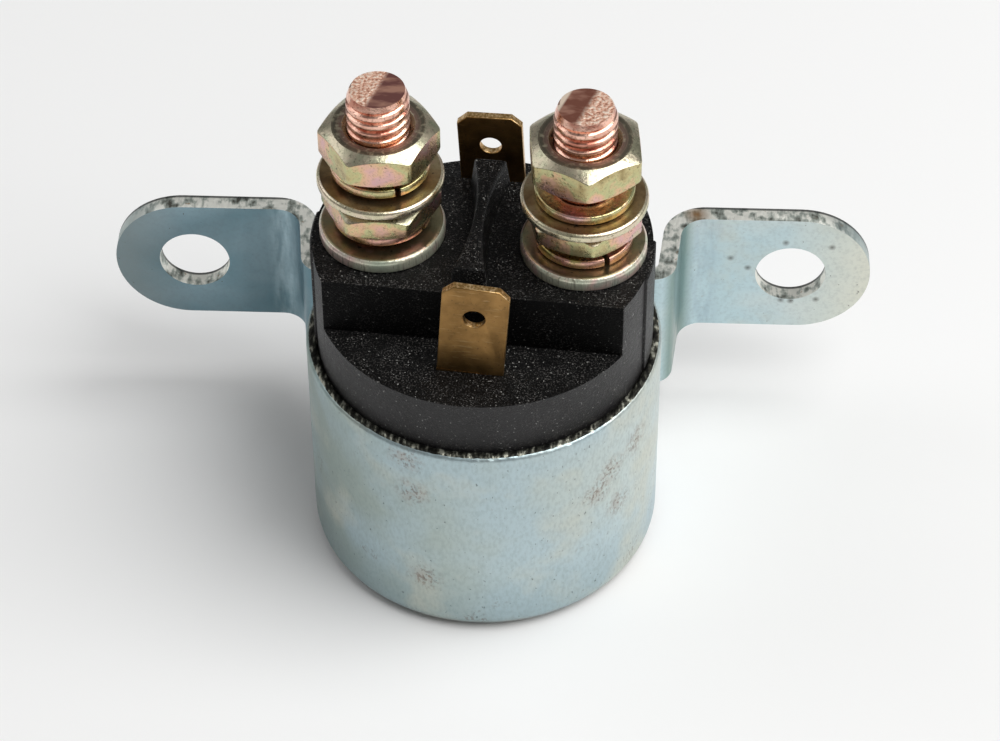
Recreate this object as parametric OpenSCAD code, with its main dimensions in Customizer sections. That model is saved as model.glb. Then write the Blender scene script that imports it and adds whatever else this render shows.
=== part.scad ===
// Starter solenoid of a motorcycle. A drawn steel can holds a coil that pulls an iron plunger up, and the plunger
// presses a contact disc against the heads of two copper studs. A moulded cap closes the can under its rolled lip,
// and a bent strap behind the can carries it by two ears.
// Millimetres, +Z up. The origin is the centre of the can's flat bottom, the ears lie along X, and the strap's
// mounting face looks towards +Y.

/* [Can] */
// Outside radius of the drawn can
can_r = 17.3; // [16.6:0.1:19]
// Height of the can to the top of its rolled lip
can_h = 24.8; // [23.5:0.1:28]
// Sheet thickness of the can
can_wall = 0.8; // [0.6:0.05:1]
// Outside radius of the corner round the bottom
can_corner_r = 2; // [1.2:0.1:3]
// Height of the lip that is rolled in over the cap's flange
lip_h = 0.95; // [0.6:0.05:1.2]
// Radius of the lip's outer edge
lip_edge_r = 0.6; // [0.3:0.05:0.75]
// Width of the flange that the lip covers
lip_cover = 0.3; // [0.2:0.05:0.6]

/* [Strap] */
// Sheet thickness of the strap
strap_t = 1.8; // [1.4:0.1:2.2]
// Width of the strip that the strap is bent from
strap_w = 14.7; // [12:0.1:16]
// Drop from the lip's top to the strap's upper edge
strap_drop = 0.8; // [0.5:0.1:3]
// Distance between the centres of the ear holes
ear_spacing = 61.2; // [60:0.1:75]
// Diameter of the ear holes
ear_hole_d = 7.2; // [6.2:0.1:8.4]
// Distance from a hole's centre to the end of its ear
ear_reach = 8.1; // [7.6:0.1:10]
// Inside radius of the bend between web and ear
ear_bend_r = 2.6; // [1.8:0.1:3.4]
// Inside radius of the fold at the front of each web
fold_r = 0.5; // [0.3:0.05:0.8]
// Angle of each fold round the can, seen from above
fold_angle = 33; // [28:1:38]
// Lean of the webs away from straight back
web_lean = 6; // [2:1:9]

/* [Cap] */
// Turn of the cap and all that it carries, about the can's axis
cap_turn = -5.3; // [-8:0.1:8]
// Height of the flange under the lip
flange_h = 2.25; // [1.6:0.05:2.8]
// Height of the front ledge above the lip
front_ledge_h = 5.9; // [5.4:0.1:7]
// Height of the rear ledge above the lip
rear_ledge_h = 7.7; // [5.4:0.1:9]
// Height of the middle block above the lip
block_h = 12.1; // [11.6:0.1:14]
// Reach of the middle block in front of the studs' line
block_front = 7.65; // [7.1:0.05:7.9]
// Reach of the middle block behind the studs' line
block_rear = 8.35; // [7.1:0.05:8.6]
// Rounding of the moulded edges
cap_edge = 0.3; // [0.15:0.05:0.5]
// Height of the shallow pads that stand out of the block's ends
pad_t = 0.25; // [0.1:0.05:0.4]
// Reach of the pads in front of the studs' line
pad_front = 3.5; // [2:0.1:5]
// Reach of the pads behind the studs' line
pad_rear = 1.9; // [1.5:0.1:5]
// Wall of the cap round the contact chamber
cap_wall = 2.15; // [1.8:0.05:2.2]
// Thickness of the ledges over the chamber
ledge_t = 1.8; // [1.6:0.1:2]
// Thickness of the middle block over the chamber's pocket
block_t = 5.7; // [5.5:0.1:5.9]
// Height of the barrier rib above the block
rib_h = 3; // [1.5:0.1:4]
// Half width of the rib's top at its ends
rib_end_half = 1.55; // [1.2:0.05:1.8]
// Half width of the rib's top at its waist
rib_waist_half = 0.5; // [0.4:0.05:1]
// Widening of each side of the rib down to its foot
rib_draft = 0.45; // [0.2:0.05:0.6]
// Sideways place of the rib
rib_shift = -0.3; // [-0.5:0.05:0.5]

/* [Studs] */
// Distance from the cap's edge to the centre of each stud
stud_inset = 6.55; // [6.55:0.05:7]
// Outside diameter of the M6 thread
stud_d = 5.9; // [5.6:0.05:6]
// Height of the studs above the block
stud_rise = 17.6; // [16.6:0.1:20]
// Radius of the contact head inside the cap
head_r = 4.3; // [3.9:0.05:4.3]
// Height of the contact head
head_h = 2.4; // [2.2:0.1:2.6]
// Half width between the flats that stop the head from turning
head_flat_half = 4; // [3.8:0.05:4.2]

/* [Nuts and washers] */
// Width of the nuts across their flats
nut_af = 10; // [9.6:0.1:10.4]
// Height of the lower, thin nut
thin_nut_h = 2.7; // [2.5:0.1:3.2]
// Height of the upper nut
terminal_nut_h = 3.5; // [3.2:0.1:4]
// Radius of the flat washers
washer_r = 6; // [5.6:0.1:6.4]
// Thickness of the washer on the block
base_washer_t = 1.5; // [1.2:0.1:1.8]
// Thickness of the washer on the thin nut
upper_washer_t = 0.9; // [0.7:0.1:1.2]
// Clearance of the flat washers round the stud
washer_bore_gap = 0.25; // [0.1:0.05:0.4]
// Outside radius of the split lock washers
lock_r = 4.7; // [4.4:0.1:5]
// Thickness of the split lock washers
lock_t = 1; // [0.8:0.1:1.2]
// Rise of the pressed lock washers from end to end
lock_rise = 0.1; // [0.05:0.05:0.3]
// Angle of the slit in a lock washer
lock_slit = 7; // [5:1:15]

/* [Blades] */
// Width of the spade blades
blade_w = 6.3; // [5.8:0.1:6.6]
// Thickness of the spade blades
blade_t = 0.8; // [0.6:0.05:0.9]
// Height of a blade above its ledge
blade_h = 10.85; // [9:0.05:11.5]
// Distance from the cap's edge to the middle of each blade
blade_inset = 4.85; // [4.65:0.05:4.9]
// Bevel of the blades' upper corners
blade_bevel = 1; // [0.6:0.1:1.4]
// Diameter of the latch hole in the blades
blade_hole_d = 2.1; // [1.6:0.1:2.4]
// Distance from a blade's top to the middle of its hole
blade_hole_drop = 3.8; // [3:0.1:4.4]
// Sideways lean of the front blade
front_blade_lean = 3.8; // [-5:0.1:5]
// Sideways lean of the rear blade
rear_blade_lean = -1.8; // [-5:0.1:5]
// Forward tilt of the rear blade above its ledge
rear_blade_tilt = 4.7; // [0:0.1:6]
// Sideways place of the front blade
front_blade_shift = 0.3; // [-0.5:0.05:0.5]
// Sideways place of the rear blade
rear_blade_shift = -0.4; // [-0.5:0.05:0.5]

/* [Magnet] */
// Thickness of the gasket under the cap's flange
gasket_t = 0.8; // [0.5:0.1:1]
// Thickness of the steel flux plate over the coil
flux_plate_t = 1.6; // [1.2:0.1:2]
// Radius of the iron plunger
plunger_r = 4.8; // [4.5:0.1:5]
// Length of the iron plunger
plunger_len = 8.2; // [7.6:0.1:8.8]
// Thickness of the brass guide tube
guide_t = 0.5; // [0.3:0.05:0.6]
// Wall of the coil former round the guide tube
former_wall = 0.9; // [0.6:0.1:1.2]
// Thickness of the coil former's cheeks
cheek_t = 1.2; // [0.9:0.1:1.5]
// Depth of the winding below the edge of the cheeks
winding_drop = 0.9; // [0.5:0.1:1.5]
// Thickness of the cushion under the plunger
cushion_t = 0.8; // [0.5:0.1:1.2]
// Radius of the push rod
rod_r = 1.25; // [1:0.05:1.4]
// Radius of the collar on the push rod
collar_r = 3; // [2.8:0.1:3.3]
// Thickness of the collar on the push rod
collar_t = 0.6; // [0.4:0.1:0.8]
// Depth of the spring seats in plunger and pole piece
spring_seat_depth = 2; // [1.5:0.1:2.5]
// Radius of the return spring's wire
return_wire_r = 0.35; // [0.25:0.05:0.4]
// Turns of the return spring
return_turns = 4.5; // [3:0.5:4.5]
// Radius of the contact spring's wire
contact_wire_r = 0.3; // [0.2:0.05:0.35]
// Turns of the contact spring
contact_turns = 2.5; // [2:0.5:2.5]
// Radius of the enamelled lead wires
lead_r = 0.45; // [0.3:0.05:0.5]

/* [Contact] */
// Travel of the plunger up to the pole piece
stroke = 2.2; // [1.9:0.1:2.4]
// Part of the travel that the contact spring takes up
overtravel = 0.4; // [0.2:0.05:0.6]
// Clearance of the contact disc to the tails of the blades
disc_gap = 0.6; // [0.5:0.1:1.2]
// Thickness of the contact disc
disc_t = 1.5; // [1.2:0.1:1.8]
// Wall of the insulating bush inside the disc
bush_wall = 1; // [0.7:0.1:1.2]
// Radius of the bush's flange and of the washer over the disc
insulator_r = 3.6; // [3.2:0.1:3.8]
// Thickness of the bush's flange and of the washer over the disc
insulator_t = 0.8; // [0.6:0.1:0.9]
// Radius of the clip on the rod's end
clip_r = 2.6; // [2.3:0.1:2.9]
// Thickness of the clip on the rod's end
clip_t = 0.6; // [0.4:0.1:0.7]

/* [Hidden] */
$fn = 96;
left = -1;
right = 1;
front = -1;
rear = 1;

// Clearances, and the overrun of every cut past the face that it opens
running_gap = 0.1;
press_gap = 0.02;
touch_gap = 0.02;
fit_gap = 0.05;
thread_gap = 0.05;
over = 1;
// Overlap where two stretches of one bent strip are joined
seam = 0.03;
seam_angle = 0.2;

// Can, flange and cap radii, from the wall inwards
can_in_r = can_r - can_wall;
flange_r = can_in_r - fit_gap;
lip_in_r = can_in_r - lip_cover;
cap_r = lip_in_r - fit_gap;
chamber_r = cap_r - cap_wall;
stud_x = cap_r - stud_inset;
blade_y = cap_r - blade_inset;
disc_r = blade_y - blade_t / 2 - disc_gap;

// Levels of the stack inside the can, from the bottom up
floor_z = can_wall;
flange_top_z = can_h - lip_h;
flange_z = flange_top_z - flange_h;
flux_top_z = flange_z - gasket_t;
flux_z = flux_top_z - flux_plate_t;
former_h = flux_z - floor_z;

// Levels of the cap
front_ledge_z = can_h + front_ledge_h;
rear_ledge_z = can_h + rear_ledge_h;
block_z = can_h + block_h;
chamber_z = front_ledge_z - ledge_t;
pocket_z = block_z - block_t;
pocket_half = head_flat_half + fit_gap;
head_z = pocket_z - head_h;
rib_front = block_front - cap_edge;
rib_rear = block_rear - cap_edge;
rib_stations = 24;

// Studs and the pieces stacked on them
stud_top_z = block_z + stud_rise;
stud_r = stud_d / 2;
stud_tip = stud_r / 8;
stud_tip_h = stud_tip * 3;
lock_in_r = stud_r + running_gap;
lock_steps = 32;
nut_top_share = 0.87;
nut_foot_share = 0.95;
nut_slope = 30;
nut_sink = stud_r / 8;
base_washer_edge = base_washer_t / 3;
upper_washer_edge = upper_washer_t / 3;
// Turn of each nut and place of each washer's slit about its stud, left then right
terminal_nut_turns = [9, 40];
thin_nut_turns = [5, 46];
upper_slit_angles = [-60, 95];
lower_slit_angles = [-24, -56];
// Play under each piece of the loose stacks, as shares of a lock washer's thickness, left then right
lower_lock_play_shares = [0.65, 0];
thin_nut_play_shares = [0.1, 0.9];
upper_washer_play_shares = [0.7, 0];
upper_lock_play_shares = [0.5, 0.05];
terminal_nut_play_shares = [0.65, 2.1];

// Blades and their leads
blade_tail_z = flange_z + flange_h * 2;
blade_tail_w = blade_w / 2;
blade_shoulder = ledge_t / 2;
lead_y = blade_y + blade_t / 2 + lead_r;
lead_top_z = blade_tail_z + blade_shoulder;
lead_hole_r = lead_r + running_gap * 4;

// Plunger, pole piece and rod
plunger_z = floor_z + cushion_t + fit_gap;
plunger_top_z = plunger_z + plunger_len;
pole_z = plunger_top_z + stroke + running_gap;
guide_in_r = plunger_r + running_gap;
guide_out_r = guide_in_r + guide_t;
pole_r = guide_in_r - fit_gap;
spigot_r = plunger_r * 3 / 4;
former_in_r = guide_out_r + fit_gap;
former_out_r = former_in_r + former_wall;
cheek_r = can_in_r - fit_gap * 4;
winding_r = cheek_r - winding_drop;
rod_hole_r = rod_r + running_gap;
rod_z = plunger_z + plunger_len / 3;
spring_seat_r = plunger_r * 2 / 3;
return_spring_z = plunger_top_z - spring_seat_depth;
return_spring_len = pole_z + spring_seat_depth - return_spring_z;
return_mean_r = rod_r + (spring_seat_r - rod_r) * 3 / 5;

// Contact disc with its bush, washer, clip and spring
disc_z = head_z - touch_gap - (stroke - overtravel) - disc_t;
bush_z = disc_z - insulator_t;
bush_out_r = rod_hole_r + bush_wall;
top_insulator_z = disc_z + disc_t;
clip_z = top_insulator_z + insulator_t;
rod_top_z = clip_z + clip_t * 5 / 3;
clip_groove = rod_r / 5;
clip_mouth = rod_r;
collar_z = flux_top_z + collar_t * 3 / 2;
contact_spring_z = collar_z + collar_t;
contact_spring_len = bush_z - contact_spring_z;
contact_mean_r = rod_r + contact_wire_r * 5 / 2;
wire_sides = 8;
steps_per_turn = 16;

// Strap, as a path of arcs and straights seen from above, for the side towards +X
strap_mid_r = can_r + strap_t / 2;
strap_top_z = can_h - strap_drop;
strap_z = strap_top_z - strap_w / 2;
fold_mid_r = fold_r + strap_t / 2;
bend_mid_r = ear_bend_r + strap_t / 2;
fold_x = (strap_mid_r + fold_mid_r) * cos(fold_angle);
fold_y = (strap_mid_r + fold_mid_r) * sin(fold_angle);
bend_y = strap_mid_r - bend_mid_r;
bend_x = fold_x + (bend_y - fold_y) * tan(web_lean) + (fold_mid_r + bend_mid_r) / cos(web_lean);
web_len = (bend_x - fold_x) * sin(web_lean) + (bend_y - fold_y) * cos(web_lean);
ear_end_x = ear_spacing / 2 + ear_reach;

// Everything that turns with the cap
module turned() { rotate([0, 0, cap_turn]) children(); }

// Places a piece on one of the two studs, at a level
module on_stud(side, z) { turned() translate([side * stud_x, 0, z]) children(); }

// The first value of a pair is the left one
function of_side(pair, side) = side == left ? pair[0] : pair[1];

// Levels of the pieces on a stud, from the block up
function play(shares, side) = lock_t * of_side(shares, side);
function lower_lock_z(side) = block_z + base_washer_t + play(lower_lock_play_shares, side);
function thin_nut_z(side) = lower_lock_z(side) + lock_t + lock_rise + play(thin_nut_play_shares, side);
function upper_washer_z(side) = thin_nut_z(side) + thin_nut_h + play(upper_washer_play_shares, side);
function upper_lock_z(side) = upper_washer_z(side) + upper_washer_t + play(upper_lock_play_shares, side);
function terminal_nut_z(side) = upper_lock_z(side) + lock_t + lock_rise + play(terminal_nut_play_shares, side);

// A plain ring
module ring(r_out, r_in, h) {
    difference() {
        cylinder(r = r_out, h = h);
        translate([0, 0, -over]) cylinder(r = r_in, h = h + 2 * over);
    }
}

// A punched ring, its outer edge bevelled more above than below
module edged_ring(r_out, r_in, h, edge) {
    rotate_extrude() polygon([[r_in, 0], [r_out - edge / 2, 0], [r_out, edge / 2], [r_out, h - edge],
        [r_out - edge, h], [r_in, h]]);
}

// A closed skin over rings of points, each ring with as many points, going round the same way
module loft(rings) {
    n = len(rings) - 1;
    m = len(rings[0]);
    function at(i, j) = i * m + j % m;
    polyhedron(points = [for (r = rings) each r],
        faces = concat(
            [for (i = [0 : n - 1], j = [0 : m - 1]) each [
                [at(i, j), at(i, j + 1), at(i + 1, j + 1)], [at(i, j), at(i + 1, j + 1), at(i + 1, j)]]],
            [[for (j = [m - 1 : -1 : 0]) at(0, j)], [for (j = [0 : m - 1]) at(n, j)]]));
}

// A cross-section of radius and height pairs, swept round the axis as it climbs
module coil(section, angle, steps, rise, start) {
    loft([for (i = [0 : steps]) let (a = start + angle * i / steps)
        [for (p = section) [p[0] * cos(a), p[0] * sin(a), p[1] + rise * i / steps]]]);
}

// A round-wire spring that stands on its own length
module spring(mean_r, wire_r, len, turns) {
    coil([for (j = [0 : wire_sides - 1]) let (b = 360 * j / wire_sides)
        [mean_r + wire_r * cos(b), wire_r + wire_r * sin(b)]],
        360 * turns, steps_per_turn * turns, len - 2 * wire_r, 0);
}

// A cup's outline from its axis outwards, with a rounded lower corner
module cup_outline(r, corner, h) {
    square([r - corner, h]);
    translate([0, corner]) square([r, h - corner]);
    translate([r - corner, corner]) circle(corner);
}

module can() {
    color("#aebfc4") rotate_extrude() difference() {
        cup_outline(can_r, can_corner_r, can_h);
        translate([0, can_wall]) cup_outline(can_in_r, can_corner_r - can_wall, flange_top_z - can_wall);
        translate([0, flange_top_z - over]) square([lip_in_r, lip_h + 2 * over]);
        difference() {
            translate([can_r - lip_edge_r, can_h - lip_edge_r]) square(lip_edge_r + over);
            translate([can_r - lip_edge_r, can_h - lip_edge_r]) circle(lip_edge_r);
        }
    }
}

// The part of a ring between two angles, as an outline
module ring_sector(r_out, r_in, from, to) {
    reach = 2 * r_out;
    intersection() {
        difference() {
            circle(r_out);
            circle(r_in);
        }
        polygon(concat([[0, 0]], [for (i = [0 : 4]) let (a = from + (to - from) * i / 4)
            [reach * cos(a), reach * sin(a)]]));
    }
}

// One side of the strap seen from above: saddle, fold, web, bend and ear
module strap_half() {
    ring_sector(can_r + strap_t, can_r, fold_angle - seam_angle, 90 + seam_angle);
    translate([fold_x, fold_y])
        ring_sector(fold_mid_r + strap_t / 2, fold_r, fold_angle - 180, -web_lean);
    translate([fold_x, fold_y]) rotate([0, 0, -web_lean]) translate([fold_r, -seam])
        square([strap_t, web_len + 2 * seam]);
    translate([bend_x, bend_y]) ring_sector(bend_mid_r + strap_t / 2, ear_bend_r, 90, 180 - web_lean);
    translate([bend_x - seam, can_r]) square([ear_end_x - bend_x + seam, strap_t]);
}

// The strap bent from a strip with round ends and two holes
module mounting_strap() {
    ear_arc_x = ear_end_x - strap_w / 2;
    color("#9fb4bb") difference() {
        intersection() {
            translate([0, 0, strap_z - strap_w / 2]) linear_extrude(strap_w) {
                strap_half();
                mirror([1, 0, 0]) strap_half();
            }
            translate([0, can_r + strap_t + over, strap_z]) rotate([90, 0, 0])
                linear_extrude(can_r + strap_t + 2 * over) {
                    square([2 * ear_arc_x, strap_w], center = true);
                    translate([ear_arc_x, 0]) circle(strap_w / 2);
                    translate([-ear_arc_x, 0]) circle(strap_w / 2);
                }
        }
        for (side = [left, right]) translate([side * ear_spacing / 2, can_r + strap_t + over, strap_z])
            rotate([90, 0, 0]) cylinder(d = ear_hole_d, h = strap_t + 2 * over);
    }
}

module plunger_cushion() {
    color("#3a3a38") translate([0, 0, floor_z]) cylinder(r = guide_in_r - fit_gap, h = cushion_t);
}

module guide_tube() {
    color("#b79a55") translate([0, 0, floor_z]) ring(guide_out_r, guide_in_r, former_h);
}

// The wires leave the winding through a hole in the upper cheek, in line with each blade
module lead_holes(z, h) {
    for (end = [front, rear]) translate([0, end * lead_y, z - over]) cylinder(r = lead_hole_r, h = h + 2 * over);
}

// The former is rounded below to sit in the can's corner
module coil_former() {
    color("#d8d2c0") turned() difference() {
        translate([0, 0, floor_z]) rotate_extrude() intersection() {
            union() {
                translate([former_in_r, 0]) square([former_wall, former_h]);
                translate([former_in_r, 0]) square([cheek_r, cheek_t]);
                translate([former_in_r, former_h - cheek_t]) square([cheek_r, cheek_t]);
            }
            cup_outline(cheek_r, can_corner_r - can_wall, former_h);
        }
        lead_holes(flux_z - cheek_t, cheek_t);
    }
}

module coil_winding() {
    color("#8f3f1f") translate([0, 0, floor_z + cheek_t])
        ring(winding_r, former_out_r + press_gap, former_h - 2 * cheek_t);
}

// The fixed core, riveted into the flux plate, with a seat for the return spring and a bore for the rod
module pole_piece() {
    color("#7d8386") difference() {
        union() {
            translate([0, 0, pole_z]) cylinder(r = pole_r, h = flux_z - pole_z);
            translate([0, 0, pole_z]) cylinder(r = spigot_r, h = flux_top_z - pole_z);
        }
        translate([0, 0, pole_z - over]) cylinder(r = spring_seat_r, h = spring_seat_depth + over);
        translate([0, 0, pole_z]) cylinder(r = rod_hole_r, h = flux_top_z - pole_z + over);
    }
}

module flux_plate() {
    color("#8b9295") turned() difference() {
        translate([0, 0, flux_z]) ring(can_in_r - fit_gap, spigot_r + press_gap, flux_plate_t);
        lead_holes(flux_z, flux_plate_t);
    }
}

module cap_gasket() {
    color("#2e2e2c") translate([0, 0, flux_top_z]) ring(can_in_r - fit_gap, chamber_r, gasket_t);
}

// A round body whose upper edge is bevelled
module round_body(z0, z1, r) {
    rotate_extrude() polygon([[0, z0], [r, z0], [r, z1 - cap_edge], [r - cap_edge, z1], [0, z1]]);
}

// A slab across the cap between two places from front to back, its upper edges bevelled
module slab(y0, y1, z1) {
    reach = cap_r + over;
    translate([-reach, 0, 0]) rotate([90, 0, 90]) linear_extrude(2 * reach)
        polygon([[y0, 0], [y1, 0], [y1, z1 - cap_edge], [y1 - cap_edge, z1], [y0 + cap_edge, z1],
            [y0, z1 - cap_edge]]);
}

// Half width of the rib's top, from its waist at 0 to its ends at -1 and 1
function rib_half(s) = rib_waist_half + (rib_end_half - rib_waist_half) * s * s;

// The waisted barrier between the studs
module barrier_rib() {
    foot_z = block_z - cap_edge;
    top_z = block_z + rib_h;
    edge = rib_waist_half / 2;
    translate([rib_shift, 0, 0]) loft([for (i = [0 : rib_stations])
        let (s = 2 * i / rib_stations - 1, y = s * (s < 0 ? rib_front : rib_rear), w = rib_half(s))
        [[-w - rib_draft, y, foot_z], [w + rib_draft, y, foot_z], [w, y, top_z - edge],
            [w - edge, y, top_z], [edge - w, y, top_z], [-w, y, top_z - edge]]]);
}

// The moulded cap: flange, two ledges, middle block and rib, with its chamber, pocket, bores and slots
module terminal_cap() {
    color("#262728") turned() difference() {
        union() {
            translate([0, 0, flange_z]) cylinder(r = flange_r, h = flange_h);
            round_body(flange_z, front_ledge_z, cap_r);
            intersection() {
                round_body(flange_z, rear_ledge_z, cap_r);
                slab(0, cap_r + over, rear_ledge_z + over);
            }
            intersection() {
                round_body(flange_z, block_z, cap_r);
                slab(-block_front, block_rear, block_z);
            }
            intersection() {
                round_body(can_h + fit_gap, block_z, cap_r + pad_t);
                slab(-pad_front, pad_rear, block_z + over);
            }
            barrier_rib();
        }
        translate([0, 0, flange_z - over]) cylinder(r = chamber_r, h = chamber_z - flange_z + over);
        intersection() {
            translate([0, 0, flange_z]) cylinder(r = chamber_r, h = pocket_z - flange_z);
            translate([-chamber_r, -pocket_half, flange_z])
                cube([2 * chamber_r, 2 * pocket_half, pocket_z]);
        }
        for (side = [left, right]) translate([side * stud_x, 0, pocket_z - over])
            cylinder(r = stud_r + press_gap, h = block_t + 2 * over);
        blade_at(front) blade_slot();
        blade_at(rear) blade_slot();
    }
}

// Places a blade upright on its ledge, with its lean
module blade_at(end) {
    foot_z = end == front ? front_ledge_z : rear_ledge_z;
    shift = end == front ? front_blade_shift : rear_blade_shift;
    lean = end == front ? front_blade_lean : rear_blade_lean;
    translate([shift, end * blade_y, foot_z]) rotate([0, lean, 0]) children();
}

module blade_slot() {
    depth = rear_ledge_z - blade_tail_z;
    translate([-blade_w / 2 - press_gap, -blade_t / 2 - press_gap, -depth])
        cube([blade_w + 2 * press_gap, blade_t + 2 * press_gap, depth + over]);
}

// An outline in the plane of a blade, as thick as the blade's sheet
module blade_sheet() { rotate([90, 0, 0]) translate([0, 0, -blade_t / 2]) linear_extrude(blade_t) children(); }

// A spade blade: a tongue with bevelled corners and a latch hole, bent at the ledge, and a narrow tail in the cap
module blade(end) {
    foot_z = end == front ? front_ledge_z : rear_ledge_z;
    shoulder_z = chamber_z - blade_shoulder - foot_z;
    tail_z = blade_tail_z - foot_z;
    color("#a8793a") turned() blade_at(end) {
        blade_sheet() polygon([[-blade_tail_w / 2, tail_z], [blade_tail_w / 2, tail_z],
            [blade_tail_w / 2, shoulder_z], [blade_w / 2, shoulder_z], [blade_w / 2, seam], [-blade_w / 2, seam],
            [-blade_w / 2, shoulder_z], [-blade_tail_w / 2, shoulder_z]]);
        rotate([end == front ? 0 : rear_blade_tilt, 0, 0]) blade_sheet() difference() {
            polygon([[-blade_w / 2, 0], [blade_w / 2, 0], [blade_w / 2, blade_h - blade_bevel],
                [blade_w / 2 - blade_bevel, blade_h], [blade_bevel - blade_w / 2, blade_h],
                [-blade_w / 2, blade_h - blade_bevel]]);
            translate([0, blade_h - blade_hole_drop]) circle(d = blade_hole_d);
        }
    }
}

// An enamelled wire from the winding up to the tail of a blade
module lead(end) {
    color("#a5502a") turned() translate([0, end * lead_y, flux_z - cheek_t])
        cylinder(r = lead_r, h = lead_top_z - flux_z + cheek_t);
}

module plunger() {
    color("#6f7678") difference() {
        translate([0, 0, plunger_z]) cylinder(r = plunger_r, h = plunger_len);
        translate([0, 0, return_spring_z]) cylinder(r = spring_seat_r, h = spring_seat_depth + over);
        translate([0, 0, rod_z]) cylinder(r = rod_r + press_gap, h = plunger_len);
    }
}

// The rod, with a groove near its top for the clip
module push_rod() {
    color("#b8bcbd") difference() {
        translate([0, 0, rod_z]) cylinder(r = rod_r, h = rod_top_z - rod_z);
        translate([0, 0, clip_z]) ring(rod_r + over, rod_r - clip_groove, clip_t);
    }
}

module rod_collar() {
    color("#9a9e9f") translate([0, 0, collar_z]) ring(collar_r, rod_r + press_gap, collar_t);
}

// The clip snaps into the rod's groove through its open mouth
module rod_clip() {
    color("#55595a") translate([0, 0, clip_z]) difference() {
        ring(clip_r, rod_r - clip_groove + press_gap, clip_t);
        translate([0, -clip_mouth / 2, -over]) cube([clip_r + over, clip_mouth, clip_t + 2 * over]);
    }
}

module return_spring() {
    color("#c3c7c8") translate([0, 0, return_spring_z])
        spring(return_mean_r, return_wire_r, return_spring_len, return_turns);
}

module contact_spring() {
    color("#c3c7c8") translate([0, 0, contact_spring_z])
        spring(contact_mean_r, contact_wire_r, contact_spring_len, contact_turns);
}

module insulating_bush() {
    color("#7a5a36") translate([0, 0, bush_z]) union() {
        ring(insulator_r, rod_hole_r, insulator_t);
        ring(bush_out_r, rod_hole_r, insulator_t + disc_t);
    }
}

module contact_disc() {
    color("#b8693a") translate([0, 0, disc_z]) ring(disc_r, bush_out_r + press_gap, disc_t);
}

module top_insulator() {
    color("#7a5a36") translate([0, 0, top_insulator_z]) ring(insulator_r, rod_hole_r, insulator_t);
}

// A copper stud with a flat-sided contact head inside the cap
module stud(side) {
    color("#b8633c") on_stud(side, 0) {
        intersection() {
            translate([0, 0, head_z]) cylinder(r = head_r, h = head_h);
            translate([-head_r, -head_flat_half, head_z]) cube([2 * head_r, 2 * head_flat_half, head_h]);
        }
        rotate_extrude() polygon([[0, head_z], [stud_r, head_z], [stud_r, stud_top_z - stud_tip_h],
            [stud_r - stud_tip, stud_top_z], [0, stud_top_z]]);
    }
}

module base_washer(side) {
    color("#b9bda0") on_stud(side, block_z)
        edged_ring(washer_r, stud_r + washer_bore_gap, base_washer_t, base_washer_edge);
}

module upper_washer(side) {
    color("#b7a468") on_stud(side, upper_washer_z(side))
        edged_ring(washer_r, stud_r + washer_bore_gap, upper_washer_t, upper_washer_edge);
}

// A split lock washer that climbs from one side of its slit to the other
module lock_washer(side, z, slit_angle) {
    color("#b59a4c") on_stud(side, z)
        coil([[lock_in_r, 0], [lock_r, 0], [lock_r, lock_t], [lock_in_r, lock_t]],
            360 - lock_slit, lock_steps, lock_rise, slit_angle + lock_slit / 2);
}

// A hexagon nut, bevelled at both faces and sunk round its bore
module nut(side, z, h, turn) {
    corner_r = nut_af / sqrt(3);
    top_r = nut_af / 2 * nut_top_share;
    foot_r = nut_af / 2 * nut_foot_share;
    top_bevel = (corner_r - top_r) * tan(nut_slope);
    foot_bevel = (corner_r - foot_r) * tan(nut_slope);
    bore_r = stud_r + thread_gap;
    color("#b9a65f") on_stud(side, z) rotate([0, 0, turn]) difference() {
        intersection() {
            cylinder(r = corner_r, h = h, $fn = 6);
            rotate_extrude() polygon([[0, 0], [foot_r, 0], [corner_r, foot_bevel], [corner_r, h - top_bevel],
                [top_r, h], [0, h]]);
        }
        translate([0, 0, -over]) cylinder(r = bore_r, h = h + 2 * over);
        translate([0, 0, h - nut_sink]) cylinder(r1 = bore_r, r2 = bore_r + nut_sink, h = nut_sink);
        cylinder(r1 = bore_r + nut_sink, r2 = bore_r, h = nut_sink);
    }
}

module upper_lock(side) { lock_washer(side, upper_lock_z(side), of_side(upper_slit_angles, side)); }
module lower_lock(side) { lock_washer(side, lower_lock_z(side), of_side(lower_slit_angles, side)); }
module terminal_nut(side) { nut(side, terminal_nut_z(side), terminal_nut_h, of_side(terminal_nut_turns, side)); }
module thin_nut(side) { nut(side, thin_nut_z(side), thin_nut_h, of_side(thin_nut_turns, side)); }

can();
mounting_strap();
plunger_cushion();
guide_tube();
coil_former();
coil_winding();
pole_piece();
flux_plate();
cap_gasket();
terminal_cap();
lead(front);  // lead_front
lead(rear);  // lead_rear
blade(front);  // blade_front
blade(rear);  // blade_rear
plunger();
push_rod();
rod_collar();
rod_clip();
return_spring();
contact_spring();
insulating_bush();
contact_disc();
top_insulator();
stud(left);  // stud_left
stud(right);  // stud_right
base_washer(left);  // base_washer_left
base_washer(right);  // base_washer_right
lower_lock(left);  // lower_lock_washer_left
lower_lock(right);  // lower_lock_washer_right
thin_nut(left);  // thin_nut_left
thin_nut(right);  // thin_nut_right
upper_washer(left);  // upper_washer_left
upper_washer(right);  // upper_washer_right
upper_lock(left);  // upper_lock_washer_left
upper_lock(right);  // upper_lock_washer_right
terminal_nut(left);  // terminal_nut_left
terminal_nut(right);  // terminal_nut_right
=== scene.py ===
"""Starter solenoid on a white table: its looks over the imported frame, in the order it is put together."""

import math

import bmesh
import bpy
from mathutils import Matrix, Vector


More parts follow.
